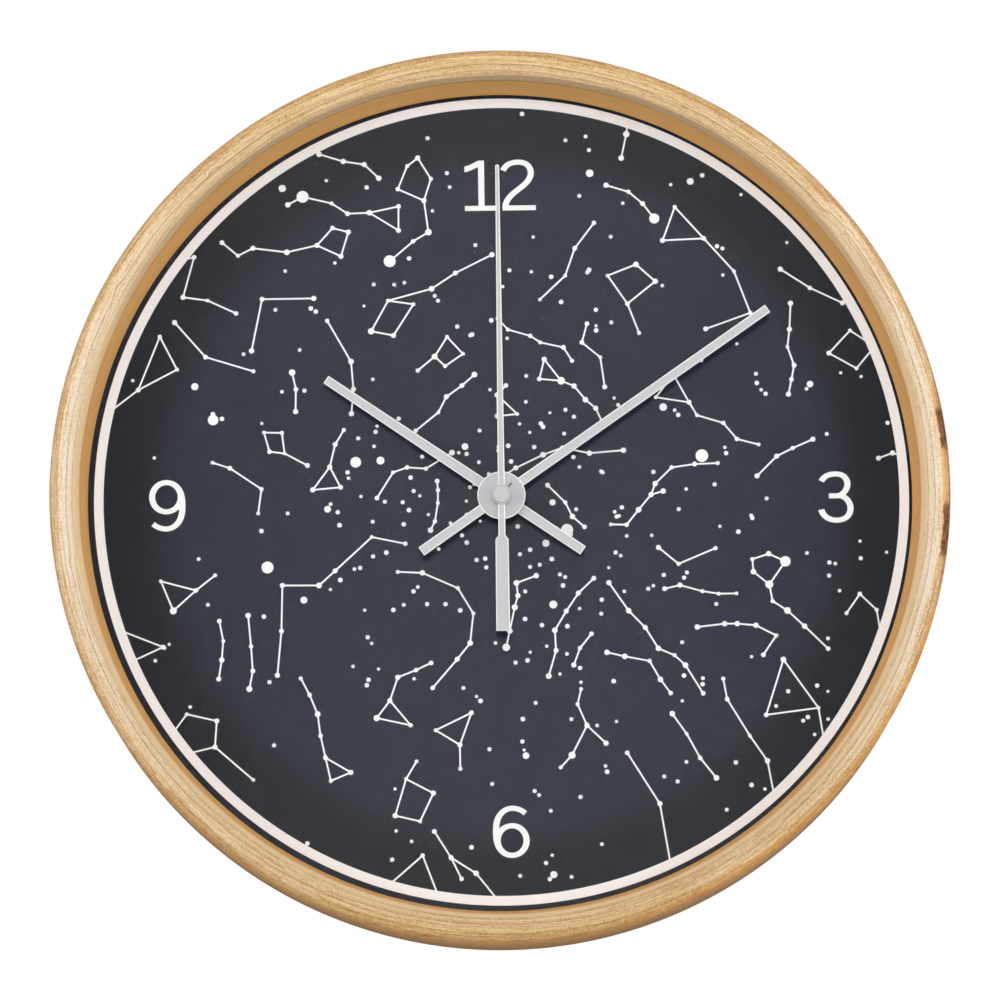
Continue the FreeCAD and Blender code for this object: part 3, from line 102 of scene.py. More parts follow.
def outward(points, groups):
    """The same shell with its faces turned to point outwards. Six times its volume is the sum of
    a dot (b cross c) over the triangles of its faces, and is below 0 when they point inwards."""
    total = 0.0
    for faces in groups:
        for k in range(1, faces.shape[1] - 1):
            a, b, c = points[faces[:, 0]], points[faces[:, k]], points[faces[:, k + 1]]
            total += np.einsum("ij,ij->i", a, np.cross(b, c)).sum()
    return points, groups if total > 0 else [faces[:, ::-1] for faces in groups]


def turned(outline, centre, steps=256):
    """Carry (radius, y) points round an axis: x = cx + r sin a, z = cz + r cos a. The outline is
    closed, unless it starts and ends on the axis, where a single point closes the shell."""
    outline = np.asarray(outline, float)
    poles = outline[0, 0] == 0
    ring = outline[1:-1] if poles else outline
    a = np.linspace(0, 2 * math.pi, steps, endpoint=False)
    r, y = ring[:, :1], ring[:, 1:]
    points = np.stack([centre[0] + r * np.sin(a), y + 0 * a, centre[1] + r * np.cos(a)], 2)
    points = points.reshape(-1, 3)
    i = np.arange(len(ring) - poles)[:, None]
    j = np.arange(steps)[None, :]
    i2, j2 = (i + 1) % len(ring), (j + 1) % steps
    quads = np.stack([i * steps + j, i * steps + j2, i2 * steps + j2, i2 * steps + j], 2)
    groups = [quads.reshape(-1, 4)]
    if poles:
        first, last = len(points), len(points) + 1
        ends = [[centre[0], outline[k, 1], centre[1]] for k in (0, -1)]
        points = np.vstack([points, ends])
        edge, far = np.arange(steps), (len(ring) - 1) * steps
        ahead = (edge + 1) % steps
        groups.append(np.stack([ahead, edge, first + 0 * edge], 1))
        groups.append(np.stack([far + edge, far + ahead, last + 0 * edge], 1))
    return outward(points, groups)


def washer(bore, radius, front, back):
    """The outline of a flat ring: its four corners, from the bore's front to the bore's back."""
    return [(bore, front), (radius, front), (radius, back), (bore, back)]


print("a washer's four corners, eased, are", len(eased(washer(1, 2, 0, 1), 0.2)), "points")

# %% Flat pieces
EDGE_SLOPE = 0.7


def flat(outline, back, front, edge, clockwise, centre):
    """A flat piece from an (across, along) outline: a straight wall and a sloped front edge. The
    inner outline lies one edge width inside, along the sum of the two sides' normals. The piece is
    turned clockwise by an angle in degrees, as the viewer sees it. The last value returned tells
    which face group is the sloped edge."""
    p = np.asarray(outline, float)
    side = np.roll(p, -1, 0) - p
    normal = np.stack([side[:, 1], -side[:, 0]], 1) / np.linalg.norm(side, axis=1, keepdims=True)
    before = np.roll(normal, 1, 0)
    share = 1 + np.einsum("ij,ij->i", normal, before)[:, None]
    inner = p - (normal + before) / share * edge
    a = math.radians(clockwise)
    turn = np.array([[math.cos(a), -math.sin(a)], [math.sin(a), math.cos(a)]])
    rings = []
    for shape, y in ((p, back), (p, front + edge * EDGE_SLOPE), (inner, front)):
        xz = shape @ turn + centre
        rings.append(np.stack([xz[:, 0], np.full(len(p), y), xz[:, 1]], 1))
    count = len(p)
    k = np.arange(count)
    k2 = (k + 1) % count
    walls = [np.stack([n * count + k, n * count + k2, (n + 1) * count + k2, (n + 1) * count + k], 1)
             for n in (0, 1)]
    caps = [k[None, ::-1], 2 * count + k[None, :]]
    return *outward(np.vstack(rings), walls + caps), 1


print("a sloped edge falls by", EDGE_SLOPE, "of its width")

# %% Blender objects
SHARP_DEG = 32


def added(name, data):
    """A new object of some data, linked to the scene."""
    made = bpy.data.objects.new(name, data)
    bpy.context.scene.collection.objects.link(made)
    return made


def piece(name, shells, finish, body, replaces=()):
    """A Blender object of one or more shells, smooth but for its sharp edges. The faces of a
    shell's edge group carry 1 in the attribute cut_edge, and all others 0. On the hands it marks
    where the white edge highlight is painted."""
    start, points, faces, cut = 0, [], [], []
    for shell_points, groups, *edge in shells:
        points.append(shell_points)
        for number, group in enumerate(groups):
            faces += (group + start).tolist()
            cut += [float(number in edge)] * len(group)
        start += len(shell_points)
    mesh = bpy.data.meshes.new(name)
    mesh.from_pydata(np.vstack(points).tolist(), [], faces)
    mesh.polygons.foreach_set("use_smooth", np.ones(len(mesh.polygons), bool))
    mesh.set_sharp_from_angle(angle=math.radians(SHARP_DEG))
    mesh.attributes.new("cut_edge", "FLOAT", "FACE").data.foreach_set("value", cut)
    mesh.materials.append(finish)
    made = added(name, mesh)
    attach(made, body)
    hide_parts(*replaces)
    print(name, len(mesh.vertices), "points", len(mesh.polygons), "faces")


def dress(node, finish):
    """Give a packed node one finish in place of its own."""
    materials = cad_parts[node].data.materials
    materials.clear()
    materials.append(finish)


print("edges stay sharp over", SHARP_DEG, "degrees")

# %% [markdown]
# Shader maths reads best as ordinary arithmetic. One small class wraps a node's output: adding or
# multiplying two of them adds a Math node, and one method adds any other kind of node. Colours are
# written as the 0 to 255 values that a screen shows, and turned to linear light once.

# %% A class for shader arithmetic


class Wire:
    """A node's output in a material. Arithmetic on it adds Math nodes, with plain numbers on
    either side. Any other node comes from node()."""

    def __init__(self, tree, out=None):
        self.tree = tree
        self.out = out

    def node(self, kind, settings=None, inputs=None, out=0):
        """Any node: its settings first, then a value or a link for each socket."""
        made = self.tree.nodes.new("ShaderNode" + kind)
        for name, value in (settings or {}).items():
            if name == "stops":
                ramp = made.color_ramp
                while len(ramp.elements) < len(value):
                    ramp.elements.new(0.5)
                for element, (place, colour) in zip(ramp.elements, value):
                    element.position = place
                    element.color = colour
            else:
                setattr(made, name, value)
        for name, value in (inputs or {}).items():
            if isinstance(value, Wire):
                self.tree.links.new(value.out, made.inputs[name])
            else:
                made.inputs[name].default_value = value
        return Wire(self.tree, made.outputs[out])

    def math(self, operation, *values):
        """One Math node on one or two values."""
        return self.node("Math", {"operation": operation}, dict(enumerate(values)))

    def __add__(self, other):
        return self.math("ADD", self, other)

    __radd__ = __add__

    def __sub__(self, other):
        return self.math("SUBTRACT", self, other)

    def __rsub__(self, other):
        return self.math("SUBTRACT", other, self)

    def __mul__(self, other):
        return self.math("MULTIPLY", self, other)

    __rmul__ = __mul__

    def __truediv__(self, other):
        return self.math("DIVIDE", self, other)

    def __rtruediv__(self, other):
        return self.math("DIVIDE", other, self)

    def __pow__(self, other):
        return self.math("POWER", self, other)

    def __rpow__(self, other):
        return self.math("POWER", other, self)

    def step(self, low, high):
        """0 below low, 1 above high, and 3t^2 - 2t^3 between, where t is the share of the way."""
        return self.node("MapRange", {"interpolation_type": "SMOOTHSTEP"},
                         {"Value": self, "From Min": low, "From Max": high})

    def coordinates(self):
        """The place of each point on the piece, in metres."""
        return self.node("TexCoord", out="Object")

    def apart(self, vector):
        """The x, y and z of a vector."""
        return [self.node("SeparateXYZ", None, {0: vector}, k) for k in range(3)]

    def noise(self, vector, scale=1.0, detail=2.0, w=None):
        """Smooth noise about 0.5, scale times in a metre. w is a fourth direction through it."""
        inputs = {"Vector": vector, "Scale": scale, "Detail": detail}
        if w is not None:
            inputs["W"] = w
        return self.node("TexNoise", {"noise_dimensions": "3D" if w is None else "4D"}, inputs)

    def blend(self, factor, a, b):
        """A colour between a and b: a times (1 - factor) plus b times factor."""
        return self.node("Mix", {"data_type": "RGBA"}, {0: factor, 6: a, 7: b}, 2)

    def between(self, low, high, soft):
        """1 from low to high, and 0 outside by a soft width on each side."""
        return self.step(low - soft, low) * (1 - self.step(high, high + soft))

    def bump(self, height, distance, strength):
        """A normal that leans as if the height, times a distance, stood on the surface."""
        return self.node("Bump", None, {"Height": height, "Distance": distance,
                                        "Strength": strength})


print("a wire has", [name for name in vars(Wire) if not name.startswith("_")])

# %% Colours and finishes


def screen(red, green, blue):
    """A screen colour as linear light: ((c + 0.055) / 1.055) ^ 2.4, or c / 12.92 if dark."""
    c = np.array([red, green, blue]) / 255
    return (*np.where(c > 0.04045, ((c + 0.055) / 1.055) ** 2.4, c / 12.92).tolist(), 1.0)


def finish_of(name, build, **constants):
    """A Principled material: constants stay on its sockets, and build links what varies."""
    made = bpy.data.materials.new(name)
    made.use_nodes = True
    shader = made.node_tree.nodes["Principled BSDF"]
    for socket, value in constants.items():
        shader.inputs[socket.replace("_", " ")].default_value = value
    for socket, wire in build(Wire(made.node_tree)).items():
        made.node_tree.links.new(wire.out, shader.inputs[socket])
    print(name, len(made.node_tree.nodes), "shader nodes")
    return made


print("a screen's mid grey is", round(screen(128, 128, 128)[0], 3), "in linear light")

# %% [markdown]
# The hoop is bent from thin strips of light wood glued in layers. Sanding the front round cuts
# through them, so their glue lines show as rings that wander and now and then run out over the
# edge. The grain runs round the hoop. All of it is worked out from the distance to the hoop's
# middle and the direction from it, so the pattern has no seam. The wood is painted paler at both
# sides than above and below, a painted sheen. Painted shade darkens it towards the bottom, on the
# upper bevel and towards the back of its outer side, and painted light lifts its inner slope. It
# is darker along its outer edge, where two places at the right are scorched.

# %% Colours and layers of the hoop
GLUE = screen(150, 102, 54)
TAN = screen(200, 158, 104)
WARM = screen(221, 186, 135)
LIGHT = screen(243, 218, 176)
# Paler tones for both sides of the hoop: a painted sheen.
SIDE_TAN = screen(226, 193, 150)
SIDE_WARM = screen(245, 224, 194)
SIDE_LIGHT = screen(255, 247, 230)
LINE = screen(170, 108, 50)
# The colour of the painted shade towards the bottom of the hoop.
BOTTOM_SHADE_TONE = screen(134, 98, 64)
# The pale colour of the painted light on the hoop's inner slope.
INNER_PAINTED_LIGHT = screen(255, 219, 166)
BEVEL_DARK = screen(236, 196, 148)
BEVEL_TONE = screen(254, 220, 174)
# The colour of the painted shade on the upper part of the bevel.
BEVEL_SHADE = screen(122, 94, 74)
VENEER_DARK = screen(186, 128, 70)
VENEER = screen(230, 182, 128)
SMOKE_LIGHT = screen(150, 98, 66)
SMOKE = screen(70, 36, 30)
STRIP_DARK = screen(180, 118, 52)
STRIP = screen(238, 184, 116)
# The colour of the painted shade at the back of the hoop's outer side.
STRIP_BACK_SHADE = screen(158, 106, 40)
LAYERS = [(0.00, 0.32), (0.14, 0.38), (0.22, 0.26), (0.26, 0.52), (0.34, 0.60), (0.42, 0.50),
          (0.48, 0.64), (0.51, 0.82), (0.525, 0.74), (0.55, 0.42), (0.62, 0.60), (0.68, 0.70),
          (0.74, 0.60), (0.76, 0.70), (1.00, 0.62)]
LINES = [(0.215, 0.0), (0.234, 0.6), (0.253, 0.0), (0.515, 0.0), (0.534, 1.0), (0.553, 0.0),
         (0.720, 0.0), (0.738, 0.7), (0.756, 0.0)]
WARM_STOPS = [(0.0, GLUE), (0.30, TAN), (0.56, WARM), (1.0, LIGHT)]
SIDE_SHEEN_STOPS = [(0.0, TAN), (0.30, SIDE_TAN), (0.56, SIDE_WARM), (1.0, SIDE_LIGHT)]
LAYERED_WIDTH = 10.0 * MM
HOOP_R, CREST_Y, RIM_Y = round_size("wood_frame")
FACE, BEVEL = 8.3 * MM, 1.3 * MM
print("hoop radius", round(HOOP_R, 4), "layers", len(LAYERS), "glue lines", len(LINES) // 3)

# %% Helpers for wood that is bent round
FIBRES = {  # how many round the hoop, per metre across it, per metre back, and finer levels
    "slow": (1.7, 0, 8, 1.0),
    "quick": (8.0, 90, 0, 2.0),
    "streak": (7, 1500, 700, 2.0),
    "hair": (60, 3200, 1400, 1.0),
    "thread": (4, 2300, 600, 0.0),
    "speck": (320, 2200, 1100, 1.0),
    "blotch": (12, 120, 60, 3.0),
    "broad": (16, 0, 220, 3.0),
    "ragged": (60, 0, 120, 4.0),
    "soot": (90, 2500, 300, 4.0),
    "ring line": (9, 300, 900, 3.0),
    "ring fleck": (420, 0, 900, 1.0),
}


def round_the(w, centre):
    """Distance from a centre, x and z from it, and y. The distance is the root of the sum of the
    squares of x and z."""
    x, y, z = w.apart(w.coordinates())
    x, z = x - float(centre[0]), z - float(centre[1])
    return (x * x + z * z) ** 0.5, x, z, y


def joined(w, x, y, z):
    """A vector of three values."""
    return w.node("CombineXYZ", None, {0: x, 1: y, 2: z})


def grey(stops):
    """A ramp's stops as greys: a place from 0 to 1 and a lightness each."""
    return {"stops": [(place, (value, value, value, 1)) for place, value in stops]}


def fibres(w, kind, s, c, across, y):
    """Noise drawn out along the hoop. It is read at the sine and cosine of the direction times
    one density, at the length across times another, and moves on with y times a third. A low
    density round the hoop and a high one across it make long thin fibres."""
    turn, out, back, detail = FIBRES[kind]
    third = across * out if out else y * back
    fourth = y * back if out and back else None
    return w.noise(joined(w, s * turn, c * turn, third), detail=detail, w=fourth)


print("kinds of fibre", len(FIBRES))

# %% The scorched edge
# Each triple is a low end, a high end and a soft width. Depths from the outer edge are in metres,
# and directions are angles in radians, 0 at the right and growing upwards.
VENEER_DEEP, VENEER_TURN = (-1 * MM, 2.5 * MM, 0.5 * MM), (-0.17, 0.20, 0.06)
UPPER_DEEP, UPPER_TURN = (0.2 * MM, 2.3 * MM, 0.4 * MM), (0.095, 0.165, 0.02)
LOWER_DEEP, LOWER_TURN = (0.5 * MM, 2.1 * MM, 0.5 * MM), (-0.15, -0.05, 0.02)
SIDE_DEPTH = 14 * MM
RAGGED_DEEP, RAGGED_TURN, RAGGED_SIDE, RAGGED_PATCH = 1.2 * MM, 0.12, 6 * MM, 1.6 * MM
SOOT = (0.35, 0.62)


def smoke(w, s, c, y, depth, angle):
    """Brown veneer along the outer edge at the right, and two smoky patches in it. Each is 1 where
    both its depth and its direction, moved by a ragged noise, lie in range. All fade backwards."""
    ragged = fibres(w, "ragged", s, c, depth, y) - 0.5
    strip = (ragged * RAGGED_DEEP + depth).between(*VENEER_DEEP)
    veneer = strip * (ragged * RAGGED_TURN + angle).between(*VENEER_TURN)
    near = 1 - (ragged * RAGGED_SIDE + y).step(CREST_Y, CREST_Y + SIDE_DEPTH)
    cloud = fibres(w, "soot", s, c, depth, y)
    place = ragged * RAGGED_PATCH + depth
    upper = place.between(*UPPER_DEEP) * angle.between(*UPPER_TURN)
    lower = place.between(*LOWER_DEEP) * angle.between(*LOWER_TURN)
    return veneer * near, (upper + lower) * near, cloud.step(*SOOT)


print("scorched from", math.degrees(LOWER_TURN[0]), "to", math.degrees(UPPER_TURN[1]), "degrees")

# %% The hoop's wood
# How far the layers wander, how much each kind of fibre shows, and how much each tone is laid on.
SLOW_WANDER, QUICK_WANDER, RUN_OUT = 2.0 * MM, 0.6 * MM, 0.9 * MM
KINK, RUN_OUT_TURN = (0.64, 0.67), (0.42, 0.62, 0.09)
STREAKS, SPECKS, HAIRS, BLOTCHES, LAYER_TONE, EVEN_TONE = 0.9, 1.05, 0.8, 0.3, 0.78, 0.15
INNER_MM, OUTMOST_MM, GLOW_MM = (6.3, 8.0), (3.2, 4.4), (5.6, 7.0)
BEVEL_MM = (FACE / MM - 0.3, FACE / MM + 0.2)
INNER_LIGHT_LIFT, OUTMOST_DARK, INNER_SHARE = 0.22, 0.14, 0.7
THREAD, THREAD_SHARE = (0.60, 0.74), 0.4
LOW_SHADE, BEVEL_SHADE_SHARE = 0.16, 0.52
PALE_RIM_TURN, PALE_RIM_MM, STRIP_MM = (-1.15, -0.40, 0.25), 1.1, 1.2


def bentwood(w):
    """Grain goes round the hoop: long streaks, short hairs, fine specks and broad blotches, each
    times its share. The tone of each layer comes from a ramp over the depth from the outer edge,
    and the glue lines from another. The tone plus the grain picks a colour from a warm ramp and
    from a pale one, blended by the fourth power of the sine, so that only both sides are pale: a
    painted sheen. Painted light lifts the inner slope. Painted shade towards the bottom, the bevel
    with painted shade on its upper part, the outer side with painted shade towards its back,
    veneer and smoke are laid over it one by one, and the number that a mask is multiplied by is
    how strongly it covers."""
    radius, x, z, y = round_the(w, HOOP)
    s, c = x / radius, z / radius
    slow = fibres(w, "slow", s, c, radius, y)
    quick = fibres(w, "quick", s, c, radius, y)
    angle = w.math("ARCTAN2", c, s)
    kink = w.noise(joined(w, s * 5.5 + 3.0, c * 5.5, radius * 40), detail=0.0).step(*KINK)
    run_out = angle.between(*RUN_OUT_TURN)
    wander = (slow - 0.5) * SLOW_WANDER + (quick - 0.5) * QUICK_WANDER + (kink + run_out) * RUN_OUT
    depth = HOOP_R - radius
    inset = depth / MM
    place = (depth + wander) / LAYERED_WIDTH
    tone = w.node("ValToRGB", grey(LAYERS), {0: place})
    line = w.node("ValToRGB", grey(LINES), {0: place})
    kinds = ("streak", "hair", "thread", "speck", "blotch")
    streak, hair, thread, speck, blotch = [fibres(w, k, s, c, radius, y) for k in kinds]
    grain = ((streak - 0.5) * STREAKS + (speck - 0.5) * SPECKS + (hair - 0.5) * HAIRS
             + (blotch - 0.5) * BLOTCHES)
    broad = fibres(w, "broad", s, c, radius, y) - 0.5
    mix = tone * LAYER_TONE + grain + EVEN_TONE
    # Painted sheen: the fourth power of the sine makes both sides paler.
    side = s ** 4.0
    # Painted light: at both sides the inner slope moves up the warm ramp, with less of the pale
    # sheen.
    inner, outmost = inset.step(*INNER_MM) * side, 1 - inset.step(*OUTMOST_MM)
    warm = w.node("ValToRGB", {"stops": WARM_STOPS}, {0: mix + inner * INNER_LIGHT_LIFT})
    pale = w.node("ValToRGB", {"stops": SIDE_SHEEN_STOPS}, {0: mix - outmost * OUTMOST_DARK})
    colour = w.blend(side - inner * INNER_SHARE, warm, pale)
    dark = w.math("MAXIMUM", line * (blotch * 0.9 + 0.4), thread.step(*THREAD) * THREAD_SHARE)
    colour = w.blend(dark * (1 - side * 0.25), colour, LINE)
    # Painted shade: the hoop darkens towards the bottom.
    colour = w.blend((1 - c.step(-1.0, 0.7)) * LOW_SHADE, colour, BOTTOM_SHADE_TONE)
    plain = w.blend(grain * 0.7 + 0.6, BEVEL_DARK, BEVEL_TONE)
    # Painted shade: the bevel's upper part is darker.
    plain = w.blend(c.step(0.1, 1.0) * BEVEL_SHADE_SHARE, plain, BEVEL_SHADE)
    # Painted light lifts the inner slope all round towards a pale tone.
    colour = w.blend(inset.step(*GLOW_MM) * (grain * 0.5 + 0.24), colour, INNER_PAINTED_LIGHT)
    colour = w.blend(inset.step(*BEVEL_MM), colour, plain)
    strip = w.blend(grain * 1.1 + broad * 1.1 + 0.55, STRIP_DARK, STRIP)
    # Painted shade: the outer side darkens towards its back.
    strip = w.blend(y.step(CREST_Y, RIM_Y), strip, STRIP_BACK_SHADE)
    outer = inset - angle.between(*PALE_RIM_TURN) * PALE_RIM_MM
    colour = w.blend((1 - outer.step(0.0, STRIP_MM)) * 0.9, colour, strip)
    veneer, patch, soot = smoke(w, s, c, y, depth, angle)
    brown = w.blend(grain * 0.9 + broad * 1.6 + inset * 0.45, VENEER_DARK, VENEER)
    colour = w.blend(veneer * 0.85, colour, brown)
    colour = w.blend(patch * 0.9, colour, w.blend(soot, SMOKE_LIGHT, SMOKE))
    height = tone * 0.4 + streak * 0.3 + speck * 0.5 - line * 0.4
    return {"Base Color": colour, "Roughness": 0.55 - (tone * 0.1) + (speck - 0.5) * 0.15,
            "Normal": w.bump(height, 0.05 * MM, 0.35)}


bentwood_finish = finish_of("bentwood", bentwood, Specular_IOR_Level=0.04)

# %% [markdown]
# The hoop's section: a straight outer side, a front that rounds over in a quarter ellipse on the
# outside and a flatter arc on the inside, a narrow bevel down to the lens, and a step behind it for
# lens, dial and board. One outline carried round the middle makes the whole hoop.

# %% The hoop
WALL, CREST_INSET, SIDE_ROUND, FACE_DROP, LIP = 6.6 * MM, 2.6 * MM, 2.8 * MM, 3.3 * MM, 1.0 * MM
LENS_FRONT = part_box("lens")[0].y
FALL_DEG, FALL_STEPS = 50, 25
CORNER_EASE = np.array([0.4, 0.3, 0.2, 0.2, 0.8, 0.8]) * MM


def quarter(centre, half, first, last, steps=24):
    """Points of an ellipse from a first to a last angle: the centre plus half its width times the
    cosine, and half its height times the sine."""
    a = np.radians(np.linspace(first, last, steps))
    return np.stack([centre[0] + half[0] * np.cos(a), centre[1] + half[1] * np.sin(a)], 1)


# From the crest, the face falls inwards as the sine goes on and down as the cosine shrinks.
crest_r = HOOP_R - CREST_INSET
bevel_r = HOOP_R - FACE
lip_r = bevel_r - BEVEL
bevel_y = CREST_Y + FACE_DROP
over = quarter((crest_r, CREST_Y + SIDE_ROUND), (CREST_INSET, SIDE_ROUND), 0, -90)
fall = np.radians(np.linspace(0, FALL_DEG, FALL_STEPS))[1:]
end = math.radians(FALL_DEG)
into = np.stack([crest_r - (crest_r - bevel_r) * np.sin(fall) / math.sin(end),
                 bevel_y - FACE_DROP * (np.cos(fall) - math.cos(end)) / (1 - math.cos(end))], 1)
rest = [(lip_r, LENS_FRONT - LIP), (lip_r, LENS_FRONT), (HOOP_R - WALL, LENS_FRONT),
        (HOOP_R - WALL, RIM_Y), (HOOP_R, RIM_Y)]
outline = np.vstack([over, into, rest])
easing = np.concatenate([np.zeros(len(over) + len(into) - 1), CORNER_EASE])
FINE_STEPS = 512
piece("bentwood_hoop", [turned(eased(outline, easing), HOOP, FINE_STEPS)], bentwood_finish,
      "clock", ["wood_frame"])

# %% [markdown]
# Between lens and dial stands a ring of a darker, plainer wood. It leans outwards a little towards
# the lens, so the viewer sees its inner side all round.

# %% The spacer ring
AMBER = screen(250, 192, 116)
AMBER_DARK = screen(238, 176, 100)


def plain_ring_wood(w):
    """Long lines round the ring and fine flecks: half, plus each one's height over its mean times
    its share."""
    radius, x, z, y = round_the(w, HOOP)
    s, c = x / radius, z / radius
    lines = fibres(w, "ring line", s, c, radius, y)
    fine = fibres(w, "ring fleck", s, c, radius, y)
    mix = (lines - 0.5) * 0.9 + (fine - 0.5) * 0.4 + 0.5
    return {"Base Color": w.blend(mix, AMBER_DARK, AMBER), "Roughness": 0.42 + lines * 0.15,
            "Normal": w.bump(lines + fine * 0.4, 0.03 * MM, 0.3)}


SPACER_DRAFT, SPACER_EASE = 2.1 * MM, 0.25 * MM
spacer_r, front, back = round_size("spacer_ring")
spacer_outline = [(lip_r - SPACER_DRAFT, back), *washer(lip_r, spacer_r, front, back)[:3]]
ring_finish = finish_of("inner_ring_wood", plain_ring_wood, Specular_IOR_Level=0.15)
piece("inner_ring", [turned(eased(spacer_outline, SPACER_EASE), HOOP, FINE_STEPS)], ring_finish,
      "clock", ["spacer_ring"])

# %% [markdown]
# The dial is a thin plate printed dark blue, with a faint tooth of ink. The print on it, ring and
# stars, is a separate white layer, a twentieth of a millimetre thick, so that it is a real piece
# and not a picture. Plate and ring are turned outlines with many steps, because their edges are
# the longest curves in view. Their corners are left sharp: the flat front keeps one true normal, so
# the soft lamp in front of it shines back as an even sheen. Only close to the hoop the blue is
# painted darker, as the hoop's shade.

# %% Dial plate and ring
NAVY = screen(34, 37, 53)
NAVY_DEEP = screen(31, 33, 48)
NAVY_SHADE = screen(17, 17, 25)
SHADED_MM = (106, 124)
GRIT = 1300.0
WHITE_INK = screen(251, 250, 251)
WHITE_WORN = screen(246, 245, 246)


def navy_print(w):
    """Two navies mixed by half a cloudy and half a gritty noise, and darker towards the rim by the
    distance from the hub: painted shade from the hoop."""
    place = w.coordinates()
    radius = round_the(w, HUB)[0]
    cloud = w.noise(place, 30.0, 3.0)
    grit = w.noise(place, GRIT, 1.0)
    navy = w.blend(cloud * 0.5 + grit * 0.5, NAVY_DEEP, NAVY)
    return {"Base Color": w.blend((radius / MM).step(*SHADED_MM), navy, NAVY_SHADE),
            "Roughness": 0.2 + cloud * 0.005}


def white_print(w):
    """Two whites mixed by 0.6 of a cloudy noise and 0.4 of the grit, which roughens the ink."""
    place = w.coordinates()
    cloud = w.noise(place, 60.0, 3.0)
    grit = w.noise(place, GRIT, 1.0)
    return {"Base Color": w.blend(cloud * 0.6 + grit * 0.4, WHITE_WORN, WHITE_INK),
            "Roughness": 0.5 + grit * 0.15}


navy_finish = finish_of("navy_dial_print", navy_print, Specular_IOR_Level=0.078)
white_finish = finish_of("white_ink", white_print, Specular_IOR_Level=0.1)

BUSH_HOLE = 4.15 * MM
plate_outline = washer(BUSH_HOLE, *round_size("dial_plate"))
piece("printed_dial", [turned(plate_outline, HUB, FINE_STEPS)], navy_finish,
      "clock", ["dial_plate"])

RING_WIDTH = 3.2 * MM
ring_r, front, back = round_size("dial_ring")
ring_outline = washer(ring_r - RING_WIDTH, ring_r, front, back)
piece("printed_ring", [turned(ring_outline, HUB, FINE_STEPS)], white_finish, "clock",
      ["dial_ring"])

# %% [markdown]
# The star chart is the clock's picture, so it is made up here: seeded random figures, each a short
# chain of stars joined by thin lines, and loose stars that crowd towards the middle. Figures keep
# off each other and off the numerals. Some run under the ring, as if the chart went on behind it.

# %% Layout of the star chart
rng = np.random.default_rng(20)
CHART_R = ring_r - RING_WIDTH / 2
NUMERAL_PLACES = np.array([(0.9, 107.0), (112.2, -1.0), (1.8, -112.2), (-112.2, -1.0)]) * MM
NUMERAL_CLEAR, FIGURE_CLEAR, PAST_RING = 17.0 * MM, 5 * MM, 12 * MM
FIGURES, TRIES = 66, 9000
CHART_SPREAD, STEP_MM, STEP_GROWTH_MM = 140, 4.5, 8.5
CHAINS, LOOPS = 0.45, 0.75
CHAIN_STARS, LOOP_STARS, BRANCHED_STARS, TAIL_STARS = (3, 9), (3, 6), (3, 6), (1, 5)
STEP_SHARE, TURN_SPREAD, LOOP_SHARE, LOOP_SPREAD = (0.55, 1.35), 0.6, (0.45, 0.95), 0.25
OUT_SHARE, SIZE_SHARE, FIGURE_STARS_MM = (0.02, 1.0), (0.7, 1.5), (0.62, 0.98)


def walk(start, aim, size, count):
    """Stars one after another: the start plus the sum so far of steps of uneven length, whose
    direction is the sum so far of small uneven turns."""
    steps = size * rng.uniform(*STEP_SHARE, count)
    turns = aim + np.cumsum(rng.normal(0, TURN_SPREAD, count))
    return start + np.cumsum(np.stack([steps * np.cos(turns), steps * np.sin(turns)], 1), 0)


def chain(first, count):
    """The pairs of numbers that join a count of stars one after another."""
    return [(first + k, first + k + 1) for k in range(count - 1)]


def figure(size):
    """A made-up figure round (0, 0): its stars and the pairs of them that lines join. It is a
    plain chain, a closed loop with a tail, or a short chain with a branch."""
    kind, aim = rng.random(), rng.uniform(-math.pi, math.pi)
    if CHAINS <= kind < LOOPS:
        corners = int(rng.integers(*LOOP_STARS))
        around = aim + np.arange(corners) / corners * 2 * math.pi
        around = around + rng.normal(0, LOOP_SPREAD, corners)
        reach = size * rng.uniform(*LOOP_SHARE, corners)[:, None]
        body = np.stack([np.cos(around), np.sin(around)], 1) * reach
        joins = [(k, (k + 1) % corners) for k in range(corners)]
    else:
        count = int(rng.integers(*(CHAIN_STARS if kind < CHAINS else BRANCHED_STARS)))
        body = walk(np.zeros(2), aim, size, count)
        joins = chain(0, len(body))
    if kind > CHAINS:
        root = int(rng.integers(0, len(body)))
        away = math.atan2(*(body[root] - body.mean(0))[::-1])
        tail = walk(body[root], away, size, int(rng.integers(*TAIL_STARS)))
        first = len(body)
        joins += [(root, first)] + chain(first, len(tail))
        body = np.vstack([body, tail])
    return body - body.mean(0), np.array(joins)


def along(ends, count=9):
    """Evenly spaced points on each line: one end times (1 - t) plus the other times t."""
    t = np.linspace(0, 1, count)[None, :, None]
    return (ends[:, :1] * (1 - t) + ends[:, 1:] * t).reshape(-1, 2)


def nearest(a, b):
    """The least distance between two sets of points."""
    return np.linalg.norm(a[:, None] - b[None], axis=2).min()


print("chart radius", round(CHART_R, 4))

